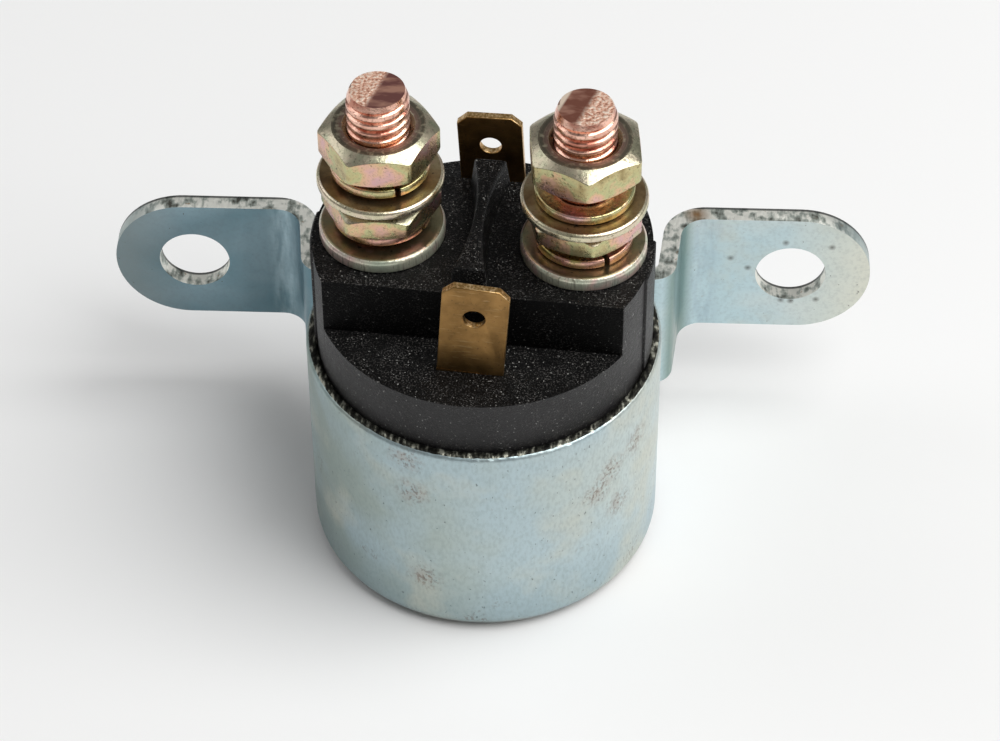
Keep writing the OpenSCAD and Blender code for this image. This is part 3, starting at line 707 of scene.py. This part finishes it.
# One turn of the thread from root to root: a flank, its rounded crest and the flank that mirrors it
flank = [(thread_root_r, 0), (stud_r - 0.11, 0.19), (stud_r - 0.02, 0.26), (stud_r, 0.34)]
thread = draw("thread", [(r, thread_low + z) for r, z in flank]
              + [(r, thread_low + thread_pitch - z) for r, z in reversed(flank)], False)
bpy.ops.object.mode_set(mode="OBJECT")
winding = thread.modifiers.new("winding", "SCREW")
winding.axis = "Z"
winding.angle = 2 * math.pi
winding.screw_offset = thread_pitch * mm
winding.iterations = thread_turns
winding.steps = winding.render_steps = 48
winding.use_merge_vertices = True
winding.merge_threshold = mm / 200
take(thread)
bpy.ops.object.modifier_apply(modifier=winding.name)
bpy.ops.object.mode_set(mode="EDIT")
bpy.ops.mesh.select_all(action="SELECT")
bpy.ops.mesh.remove_doubles(threshold=mm / 200)
bpy.ops.mesh.bisect(plane_co=(0, 0, (head_high + 0.4) * mm), plane_no=(0, 0, 1), use_fill=True,
                    clear_inner=True)
bpy.ops.mesh.select_all(action="SELECT")
bpy.ops.mesh.bisect(plane_co=(0, 0, (stud_top + 1) * mm), plane_no=(0, 0, 1), use_fill=True,
                    clear_outer=True)
finish_mesh(thread)
bar = spin("bar", [(0, head_low - 1), (stud_r + 0.25, head_low - 1), (stud_r + 0.25, stud_top - stud_tip_h),
                   (stud_tip_r, stud_top), (0, stud_top)], stud_sides, closed=False)
cut(thread, bar, "INTERSECT")
head = spin("head", [(0, head_low), (head_r, head_low), (head_r, head_high), (stud_r, head_high),
                     (stud_r, shank_top), (shank_r, shank_top), (0, shank_top)], stud_sides, closed=False)
trim(head, -head_half, head_half)
cut(thread, head, "UNION")
finish_mesh(thread, 32)

copper = Finish("stud_copper", 1.0, 0.18)
stain = copper.cloud(1.6, 4).rise(0.44, 0.64)
stained = copper.tint(stain, (0.94, 0.58, 0.45), (0.5, 0.2, 0.14))
copper_colour = copper.tint(copper.cloud(0.25, 3).rise(0.56, 0.72) * 0.7, stained, (0.1, 0.03, 0.02))
copper_skin = copper.feed(Base_Color=copper_colour, Roughness=0.12 + 0.2 * copper.cloud(0.8, 3),
                          Normal=copper.bump(copper.cloud(0.3, 3), 0.02))


def sheared_end(name, centre, lean, dull, crescent):
    """The stud's end face: torn and granular past a slanted line across it, smeared smooth before it."""
    end = Finish(name, 0.6, 0.34)
    x = end.along("X") - centre.x
    y = end.along("Y") - centre.y
    across = x * math.cos(lean) + y * math.sin(lean)
    torn_part = across.rise(-0.15 * mm, 0.35 * mm)
    grit = end.cloud(0.28, 4, shift=0.1)
    torn_rim_shade_and_glints = end.ramp(grit, (0.36, (0.46, 0.2, 0.13)), (0.48, (0.86, 0.5, 0.36)),
                           (0.62, (1.0, 0.82, 0.68)))
    smear = end.tint(end.cloud(1.1, 3, (0.4, 1, 1)).rise(0.45, 0.62), dull, (0.5, 0.26, 0.19))
    rolled = (across * -1).rise(crescent * mm, (crescent + 0.2) * mm)
    smooth_colour = end.tint(rolled, smear, (1.0, 0.82, 0.66))
    return end.feed(Base_Color=end.tint(torn_part, smooth_colour, torn_rim_shade_and_glints),
                    Roughness=0.3 + 0.15 * torn_part, Normal=end.bump(grit * torn_part, 0.12))


for side, name, lean, dull, crescent in ((-1, "left", math.radians(160), (0.2, 0.08, 0.07), 3.0),
                                         (1, "right", math.radians(-22), (0.24, 0.09, 0.06), 1.95)):
    stud = copy_of(thread, "stud_bar_" + name)
    stud.data.materials.append(copper_skin)
    centre = cap_turn @ Vector((side * stud_x * mm, 0, 0))
    stud.data.materials.append(sheared_end("stud_end_" + name, centre, lean, dull, crescent))
    on_stud(stud, side)
    paint_faces(stud, 1, lambda place, normal: place.z > stud_top - margin / 2)
    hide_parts("stud_" + name)
    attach(stud, "frame")
bpy.data.objects.remove(thread, do_unlink=True)

# Base washers
# Thick flat washers punched from steel strip and yellow passivated. The punch rounds the upper edge and
# leaves upright shear marks round the rim. They spread the thin nuts' load on the cap.

hardware = (("left", -1), ("right", 1))
washer_r = 6
washer_bore_r = 3.2
washer_bore_edge = 0.06
base_washer_t = 1.5
base_washer_edge = 0.5


def washer(name, thick, edge):
    """A punched washer, rounded more at its upper edge."""
    outline = ([(washer_bore_r, 0)] + arc(washer_r - edge / 2, edge / 2, edge / 2, -90, 0, 3)
               + arc(washer_r - edge, thick - edge, edge, 0, 90, 8)
               + [(washer_bore_r + washer_bore_edge, thick), (washer_bore_r, thick - washer_bore_edge)])
    return spin(name, outline, 120)


def yellow(name, shift, rainbow, grey, roughness):
    """Yellow passivated zinc: a thin film whose colour drifts with its thickness, under fine grey specks."""
    film = Finish(name, 0.95, roughness)
    thick = film.cloud(3.2, 4, shift=shift)
    hue = film.ramp(thick, *rainbow)
    specks = film.cloud(0.25, 3, shift=shift + 0.3).rise(0.54, 0.68)
    soot = film.cloud(0.45, 3, shift=shift + 0.5).rise(0.64, 0.72)
    speckled = film.tint(specks * 0.45, hue, grey)
    return film.feed(Base_Color=film.tint(soot * 0.8, speckled, (0.05, 0.045, 0.03)),
                     Roughness=roughness + 0.16 * film.cloud(0.8, 3, shift=shift),
                     Normal=film.bump(film.cloud(0.3, 3, shift=shift), 0.02))


def above(levels, thick, play):
    """The levels on both studs of what comes next, over that thickness and with play of its own."""
    return [level + thick + gap for level, gap in zip(levels, play)]


def hand_out(pattern, piece_name, node, levels, turns=(0, 0)):
    """Puts a copy of the pattern on each stud, at its level and turn, and takes the pattern away."""
    for (end, side), level, turn in zip(hardware, levels, turns):
        piece = copy_of(pattern, piece_name + "_" + end)
        on_stud(piece, side, level, turn)
        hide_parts(node + "_" + end)
        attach(piece, "frame")
    bpy.data.objects.remove(pattern, do_unlink=True)


olive = ((0.3, (0.12, 0.1, 0.05)), (0.42, (0.24, 0.22, 0.13)), (0.52, (0.3, 0.22, 0.13)),
         (0.62, (0.46, 0.32, 0.25)), (0.72, (0.28, 0.32, 0.22)))
pale = ((0.3, (0.5, 0.56, 0.44)), (0.45, (0.68, 0.68, 0.54)), (0.55, (0.76, 0.56, 0.5)),
        (0.68, (0.56, 0.6, 0.5)))

base_washer = washer("base_washer", base_washer_t, base_washer_edge)
base_washer.data.materials.append(yellow("base_washer_face", 0.1, olive, (0.2, 0.18, 0.13), 0.24))
rim = Finish("punched_rim", 0.6, 0.28)
marks = rim.cloud(0.3, 4, (1, 1, 0.12))
base_washer.data.materials.append(rim.feed(
    Base_Color=rim.tint(marks.rise(0.56, 0.74) * 0.8, rim.ramp(rim.cloud(3.5, 2), *pale), (0.18, 0.17, 0.13)),
    Roughness=0.2 + 0.2 * marks, Normal=rim.bump(marks, 0.06)))
paint_faces(base_washer, 1, lambda place, normal: off_axis(place) > washer_r - base_washer_edge / 2)
base_washer_levels = (block_top, block_top)
hand_out(base_washer, "base_washer_ring", "base_washer", base_washer_levels)

# Lower lock washers
# Split spring washers coiled from flat wire and pressed nearly flat. The left one has crept up its stud, and
# both slits lie towards the front right.

lock_r = 4.7
lock_bore_r = 3.05
lock_t = 1.0
lock_climb = 0.1
lock_slit = 7
outer_round = 0.25
inner_round = 0.15


def wind_up(piece, degrees, climb, steps):
    """Turns the outline in edit mode about the Z axis while it climbs, and closes both ends."""
    bpy.ops.object.mode_set(mode="OBJECT")
    turn = piece.modifiers.new("turn", "SCREW")
    turn.angle = math.radians(degrees)
    turn.screw_offset = climb * mm
    turn.steps = turn.render_steps = steps
    take(piece)
    bpy.ops.object.modifier_apply(modifier=turn.name)
    bpy.ops.object.mode_set(mode="EDIT")
    bpy.ops.mesh.select_mode(type="EDGE")
    bpy.ops.mesh.select_all(action="DESELECT")
    bpy.ops.mesh.select_non_manifold(extend=False, use_wire=False, use_multi_face=False,
                                     use_non_contiguous=False, use_verts=False)
    bpy.ops.mesh.edge_face_add()
    return finish_mesh(piece)


def lock_washer(name):
    """One turn of wire with rounded corners that climbs a little from one end of its slit to the other."""
    out = lock_r - outer_round
    into = lock_bore_r + inner_round
    section = (arc(out, outer_round, outer_round, -90, 0, 4)
               + arc(out, lock_t - outer_round, outer_round, 0, 90, 4)
               + arc(into, lock_t - inner_round, inner_round, 90, 180, 3)
               + arc(into, inner_round, inner_round, 180, 270, 3))
    return wind_up(draw(name, section, True), 360 - lock_slit, lock_climb, 96)


def slits_at(angles):
    """How far to turn both lock washers for slits at those angles."""
    return [lock_slit / 2 + angle for angle in angles]


pink = ((0.3, (0.3, 0.2, 0.07)), (0.43, (0.62, 0.36, 0.24)), (0.53, (0.72, 0.4, 0.34)),
        (0.62, (0.6, 0.5, 0.2)), (0.72, (0.4, 0.46, 0.18)))
lower_lock = lock_washer("lower_lock")
lower_lock.data.materials.append(yellow("lower_lock_zinc", 0.22, pink, (0.2, 0.15, 0.1), 0.2))
lower_lock_levels = above(base_washer_levels, base_washer_t, (0.65, 0))
hand_out(lower_lock, "lower_lock_ring", "lower_lock_washer", lower_lock_levels,
         slits_at((-24, -56)))

# Thin nuts
# Half-height hexagon nuts that clamp the studs in the cap. They are pressed from steel with a bevelled top,
# threaded, and passivated yellow.

nut_flats = 10
nut_foot_r = 4.75
nut_top_r = 4.35
nut_slope = 30
nut_bore_r = 3.0
nut_groove_r = 3.14
nut_sink_r = 3.42
nut_sink = 0.37
nut_corner = 0.35
first_groove = 0.85
thin_nut_h = 2.7


def hexagon_nut(name, high):
    """A hexagon nut bevelled at both ends, more at its top, with a countersunk and threaded bore."""
    start()
    corner_r = nut_flats / math.sqrt(3)
    bpy.ops.mesh.primitive_cylinder_add(vertices=6, radius=corner_r * mm, depth=high * mm,
                                        location=(0, 0, high / 2 * mm), rotation=(0, 0, -math.pi / 6))
    bpy.ops.object.transform_apply(location=True, rotation=True, scale=True)
    nut = bpy.context.object
    nut.name = name
    bpy.ops.object.mode_set(mode="EDIT")
    pick("EDGE", lambda place, normal: abs(place.z - high / 2) < margin)
    bpy.ops.mesh.bevel(offset=nut_corner * mm, segments=5)
    finish_mesh(nut)
    slope = math.tan(math.radians(nut_slope))
    cone = spin("cone", [(0, 0), (nut_foot_r, 0), (corner_r, (corner_r - nut_foot_r) * slope),
                         (corner_r, high - (corner_r - nut_top_r) * slope), (nut_top_r, high), (0, high)],
                144, closed=False)
    cut(nut, cone, "INTERSECT")
    grooves = []
    for i in range(int(high - 1)):
        middle = first_groove + i * thread_pitch
        grooves += [(nut_bore_r, middle - 0.25), (nut_groove_r, middle - 0.05),
                    (nut_groove_r, middle + 0.05), (nut_bore_r, middle + 0.25)]
    bore = spin("bore", [(0, -1), (nut_sink_r, -1), (nut_sink_r, 0), (nut_bore_r, nut_sink)] + grooves
                + [(nut_bore_r, high - nut_sink), (nut_sink_r, high), (nut_sink_r, high + 1), (0, high + 1)],
                72, closed=False)
    cut(nut, bore)
    soften(nut, 0.08, segments=3, angle=28)
    return finish_mesh(nut, 30)


sage = ((0.3, (0.26, 0.26, 0.17)), (0.45, (0.52, 0.5, 0.35)), (0.55, (0.62, 0.54, 0.4)),
        (0.7, (0.38, 0.42, 0.28)))
gold = ((0.3, (0.34, 0.26, 0.12)), (0.39, (0.58, 0.5, 0.26)), (0.45, (0.54, 0.54, 0.28)),
        (0.51, (0.74, 0.5, 0.3)), (0.58, (0.78, 0.48, 0.38)), (0.66, (0.72, 0.45, 0.46)),
        (0.76, (0.54, 0.54, 0.32)))


def nut_finish(nut, high, shift):
    """Golden flats, a pale bevel, and a dark pressed top that the tool has marked in rings about its stud."""
    nut.data.materials.append(yellow(nut.name + "_flats", shift, gold, (0.3, 0.24, 0.14), 0.2))
    bevel = yellow(nut.name + "_bevel", shift + 0.4, sage, (0.1, 0.1, 0.06), 0.2)
    top = Finish(nut.name + "_top", 0.9, 0.3)
    turn = cap_turn.to_euler().z
    out = top.node("ShaderNodeMath", {"operation": "ABSOLUTE"},
                   {0: top.along("X") * math.cos(turn) + top.along("Y") * math.sin(turn)}) - stud_x * mm
    aside = top.along("Y") * math.cos(turn) - top.along("X") * math.sin(turn)
    radius = top.node("ShaderNodeMath", {"operation": "SQRT"}, {0: out * out + aside * aside})
    rings = top.node("ShaderNodeTexNoise", {"noise_dimensions": "1D"}, {"W": radius, "Scale": 1 / 0.2 / mm})
    nicks = top.cloud(0.5, 4, shift=shift).rise(0.54, 0.68)
    ground = top.tint(radius.rise(4.1 * mm, 3.2 * mm), (0.1, 0.1, 0.07), (0.42, 0.24, 0.2))
    marked = top.tint(rings.rise(0.45, 0.65) * 0.6, ground, (0.34, 0.27, 0.2))
    nut.data.materials.append(top.feed(Base_Color=top.tint(nicks * 0.7, marked, (0.6, 0.54, 0.38)),
                                       Roughness=0.28 + 0.2 * top.cloud(0.6, 2),
                                       Normal=top.bump(rings + top.cloud(0.4, 4, shift=shift), 0.03)))
    nut.data.materials.append(bevel)
    paint_faces(nut, 1, lambda place, normal: place.z > high - 0.06 and normal.z > 0.95)
    paint_faces(nut, 2, lambda place, normal: place.z > high - 1.1 and 0.6 < normal.z < 0.95)


thin_nut = hexagon_nut("thin_nut", thin_nut_h)
nut_finish(thin_nut, thin_nut_h, 0.37)
thin_nut_levels = above(lower_lock_levels, lock_t + lock_climb, (0.1, 0.9))
hand_out(thin_nut, "thin_nut_body", "thin_nut", thin_nut_levels, (5, 46))

# Upper washers
# Thin flat washers that the cable's terminal lies on, strongly rounded by the punch. They are brown-gold
# passivated steel; the rounded rim is painted a paler cream as a painted highlight.

upper_washer_t = 0.9
upper_washer_edge = 0.38
brown = ((0.3, (0.16, 0.1, 0.05)), (0.45, (0.32, 0.22, 0.11)), (0.58, (0.42, 0.34, 0.2)),
         (0.7, (0.4, 0.25, 0.18)))
rim_highlight_cream = ((0.3, (0.5, 0.46, 0.3)), (0.45, (0.7, 0.65, 0.46)), (0.55, (0.74, 0.62, 0.48)),
         (0.7, (0.54, 0.56, 0.4)))
upper_washer = washer("upper_washer", upper_washer_t, upper_washer_edge)
upper_washer.data.materials.append(yellow("upper_washer_zinc", 0.44, brown, (0.16, 0.12, 0.06), 0.26))
# Painted highlight: the rim gets a paler cream copy of the zinc, for the light that its rounded edge catches.
upper_washer.data.materials.append(yellow("upper_washer_rim", 0.7, rim_highlight_cream, (0.3, 0.26, 0.16), 0.2))
paint_faces(upper_washer, 1, lambda place, normal: off_axis(place) > washer_r - 0.34)
upper_washer_levels = above(thin_nut_levels, thin_nut_h, (0.7, 0))
hand_out(upper_washer, "upper_washer_ring", "upper_washer", upper_washer_levels)

# Upper lock washers
# The same split spring washers again, of passivated wire, loose under the cable nuts. The left one's slit
# shows at the front.

upper_lock = lock_washer("upper_lock")
upper_lock.data.materials.append(yellow("upper_lock_zinc", 0.55, gold, (0.2, 0.18, 0.08), 0.18))
upper_lock_levels = above(upper_washer_levels, upper_washer_t, (0.5, 0.05))
hand_out(upper_lock, "upper_lock_ring", "upper_lock_washer", upper_lock_levels,
         slits_at((-60, 95)))

# Terminal nuts
# Higher hexagon nuts, pressed and passivated yellow like the thin ones. They hold the battery and motor
# cables, and here they are only run on part of the way.

terminal_nut_h = 3.5
terminal_nut = hexagon_nut("terminal_nut", terminal_nut_h)
nut_finish(terminal_nut, terminal_nut_h, 0.62)
terminal_nut_levels = above(upper_lock_levels, lock_t + lock_climb, (0.65, 2.1))
hand_out(terminal_nut, "terminal_nut_body", "terminal_nut", terminal_nut_levels, (9, 40))

# Spade blades
# Two tabs stamped from brass sheet, tarnished brown, with a latch hole and a narrow tail inside the cap. The
# coil's wires are soldered to the tails. The rear one has been bent a little forward.

blade_high = 10.85
blade_shoulder = 28.0
blade_tip = 1
blade_sunk = 0.03
latch_r = 1.05
latch_drop = 3.8
blade_brass = Finish("tarnished_brass", 1.0, 0.38)
tarnish = blade_brass.cloud(2.5, 4)
scratches = blade_brass.cloud(0.25, 3, (0.12, 1, 1)).rise(0.6, 0.72)
pits = blade_brass.cloud(0.3, 3, shift=0.4).rise(0.62, 0.7)
brass_ground = blade_brass.tint(tarnish.rise(0.35, 0.65), (0.23, 0.13, 0.045), (0.42, 0.24, 0.085))
pitted = blade_brass.tint(pits * 0.4, brass_ground, (0.08, 0.05, 0.03))
brass_colour = blade_brass.tint(scratches * 0.35, pitted, (0.6, 0.42, 0.2))
brass_skin = blade_brass.feed(Base_Color=brass_colour, Roughness=0.34 + 0.2 * blade_brass.cloud(0.8, 3),
                              Normal=blade_brass.bump(blade_brass.cloud(0.4, 3) + scratches * 0.3, 0.02))
stamped = Finish("stamped_brass_edge", 1.0, 0.35)
granules = stamped.cloud(0.25, 4)
stamped_colour = stamped.ramp(granules, (0.34, (0.3, 0.17, 0.06)), (0.5, (0.56, 0.35, 0.14)),
                              (0.68, (0.95, 0.72, 0.42)))
stamped_skin = stamped.feed(Base_Color=stamped_colour, Normal=stamped.bump(granules, 0.03))


def sheet_of_brass(name, outline):
    """A flat piece of the blades' sheet, standing in the plane of its outline."""
    piece = draw(name, outline, True)
    bpy.ops.mesh.edge_face_add()
    bpy.ops.transform.translate(value=(0, -blade_t / 2 * mm, 0))
    bpy.ops.mesh.extrude_region_move(TRANSFORM_OT_translate={"value": (0, blade_t * mm, 0)})
    return finish_mesh(piece)


edge_x = blade_w / 2
tail_x = blade_w / 4
tip_x = edge_x - blade_tip
for name, end, ledge, shift, lean, tilt in blade_places:
    tail = blade_low - ledge
    shoulder = blade_shoulder - ledge
    blade = sheet_of_brass("blade_tab_" + name, [
        (-tail_x, tail), (tail_x, tail), (tail_x, shoulder), (edge_x, shoulder),
        (edge_x, blade_sunk), (-edge_x, blade_sunk), (-edge_x, shoulder), (-tail_x, shoulder)])
    tongue = sheet_of_brass("tongue", [
        (-edge_x, 0), (edge_x, 0), (edge_x, blade_high - blade_tip), (tip_x, blade_high),
        (-tip_x, blade_high), (-edge_x, blade_high - blade_tip)])
    punch = rod("punch", latch_r, -2, 2, 48)
    latch = Matrix.Translation((0, 0, (blade_high - latch_drop) * mm))
    lay(punch, latch @ Matrix.Rotation(math.pi / 2, 4, "X"))
    cut(tongue, punch)
    soften(tongue, 0.1, segments=3, angle=50)
    lay(tongue, Matrix.Rotation(math.radians(tilt), 4, "X"))
    blade.data.materials.append(brass_skin)
    blade.data.materials.append(stamped_skin)
    cut(blade, tongue, "UNION")
    bend = math.tan(math.radians(tilt))
    paint_faces(blade, 1, lambda place, normal: abs(place.y + place.z * bend) < 0.34)
    finish_mesh(blade)
    lay(blade, cap_turn @ at_ledge(end, ledge, shift, lean))
    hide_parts("blade_" + name)
    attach(blade, "frame")

# Parts inside the can
# Coil, guide tube, pole, plunger and contact disc, stacked in the can before the cap goes on. None of them
# shows, so all but the springs keep the frame's own solids and get the finish of what they are made of.


def plain(name, metallic, roughness, one, other, size, nodes):
    """A finish that drifts between two colours, given to a few of the frame's nodes."""
    skin = Finish(name, metallic, roughness)
    skin.feed(Base_Color=skin.tint(skin.cloud(size, 3).rise(0.35, 0.65), one, other),
              Roughness=roughness + 0.15 * skin.cloud(size / 2, 3))
    for node in nodes:
        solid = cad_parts[node]
        solid.data.materials.clear()
        solid.data.materials.append(skin.material)
    return skin.material


plain("rubber_black", 0.0, 0.6, (0.02, 0.02, 0.02), (0.05, 0.05, 0.048), 1.5,
      ["plunger_cushion", "cap_gasket"])
plain("tube_brass_skin", 1.0, 0.25, (0.6, 0.45, 0.18), (0.7, 0.54, 0.25), 2, ["guide_tube"])
plain("former_nylon", 0.0, 0.5, (0.6, 0.55, 0.42), (0.7, 0.66, 0.54), 3, ["coil_former"])
plain("enamelled_wire", 0.7, 0.3, (0.32, 0.09, 0.03), (0.48, 0.16, 0.06), 1,
      ["coil_winding", "lead_front", "lead_rear"])
plain("bright_iron", 1.0, 0.35, (0.42, 0.44, 0.45), (0.55, 0.56, 0.57), 2,
      ["pole_piece", "flux_plate", "plunger"])
spring_steel = plain("spring_wire", 1.0, 0.28, (0.5, 0.51, 0.52), (0.66, 0.67, 0.68), 1,
                     ["push_rod", "rod_collar", "rod_clip"])
plain("pressed_laminate", 0.0, 0.45, (0.16, 0.08, 0.04), (0.24, 0.13, 0.06), 1.5,
      ["insulating_bush", "top_insulator"])
plain("disc_copper", 1.0, 0.3, (0.72, 0.34, 0.2), (0.8, 0.42, 0.28), 2, ["contact_disc"])

# Springs inside the can
# Two coils of bright spring wire. One pushes the plunger down from the pole, the other rides on the push rod
# and presses the disc on the stud heads.


def spring(node, body, mean_r, wire_r, low, high, turns):
    """A coil between two levels, attached to the body it moves with."""
    coil = draw(node + "_coil", arc(mean_r, low + wire_r, wire_r, 0, 330, 11), True)
    coil = wind_up(coil, 360 * turns, high - low - 2 * wire_r, round(48 * turns))
    coil.data.materials.append(spring_steel)
    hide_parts(node)
    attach(coil, body)
    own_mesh(coil)


spring("return_spring", "frame", mean_r=2.42, wire_r=0.35, low=7.85, high=14.15, turns=4.5)
spring("contact_spring", "plunger", mean_r=2.0, wire_r=0.3, low=22.3, high=24.68,
       turns=2.5)

# Table, lamps and camera
# A white table under soft light: a wide lamp overhead, on the right, and a weaker one from the left. The
# camera stands in front, a little to the right, and looks down at about 45 degrees.

aim = Vector((0, 0, 0.02))
camera_place = (0.011510, -0.227540, 0.252047)
camera_turn = 2.8958
camera_tilt = 45.0988
camera_roll = -0.6437

start()
bpy.ops.mesh.primitive_plane_add(size=6, location=(0, 0, 0))
table = bpy.context.object
table.name = "table"
paper = Finish("white_table", 0.0, 0.9, 0.1)
table.data.materials.append(paper.feed(Base_Color=(0.88, 0.88, 0.88)))


def lamp(name, place, size, watts, colour):
    """A soft square lamp that looks at the middle of the can."""
    start()
    bpy.ops.object.light_add(type="AREA", location=place)
    light = bpy.context.object
    light.name = name
    light.data.shape = "SQUARE"
    light.data.size = size
    light.data.energy = watts
    light.data.color = colour
    light.rotation_euler = (aim - light.location).to_track_quat("-Z", "Y").to_euler()


lamp("key_lamp", (0.42, -0.1, 0.7), size=0.75, watts=7.45, colour=(1.0, 1.0, 0.99))
lamp("left_lamp", (-0.6, 0.2, 0.5), size=0.5, watts=0.9, colour=(0.97, 0.98, 1.0))
world = bpy.context.scene.world or bpy.data.worlds.new("room")
bpy.context.scene.world = world
world.use_nodes = True
world.node_tree.nodes["Background"].inputs["Color"].default_value = (1, 1, 1, 1)
world.node_tree.nodes["Background"].inputs["Strength"].default_value = 0.22

start()
bpy.ops.object.camera_add()
camera = bpy.context.object
camera.name = "camera"
camera.matrix_world = (Matrix.Translation(camera_place)
                       @ Matrix.Rotation(math.radians(camera_turn), 4, "Z")
                       @ Matrix.Rotation(math.radians(camera_tilt), 4, "X")
                       @ Matrix.Rotation(math.radians(camera_roll), 4, "Z"))
camera.data.lens = 119.14
camera.data.sensor_width = 36
camera.data.shift_x = 0.01616
camera.data.shift_y = -0.04245
bpy.context.scene.camera = camera
bpy.context.scene.view_settings.view_transform = "Standard"
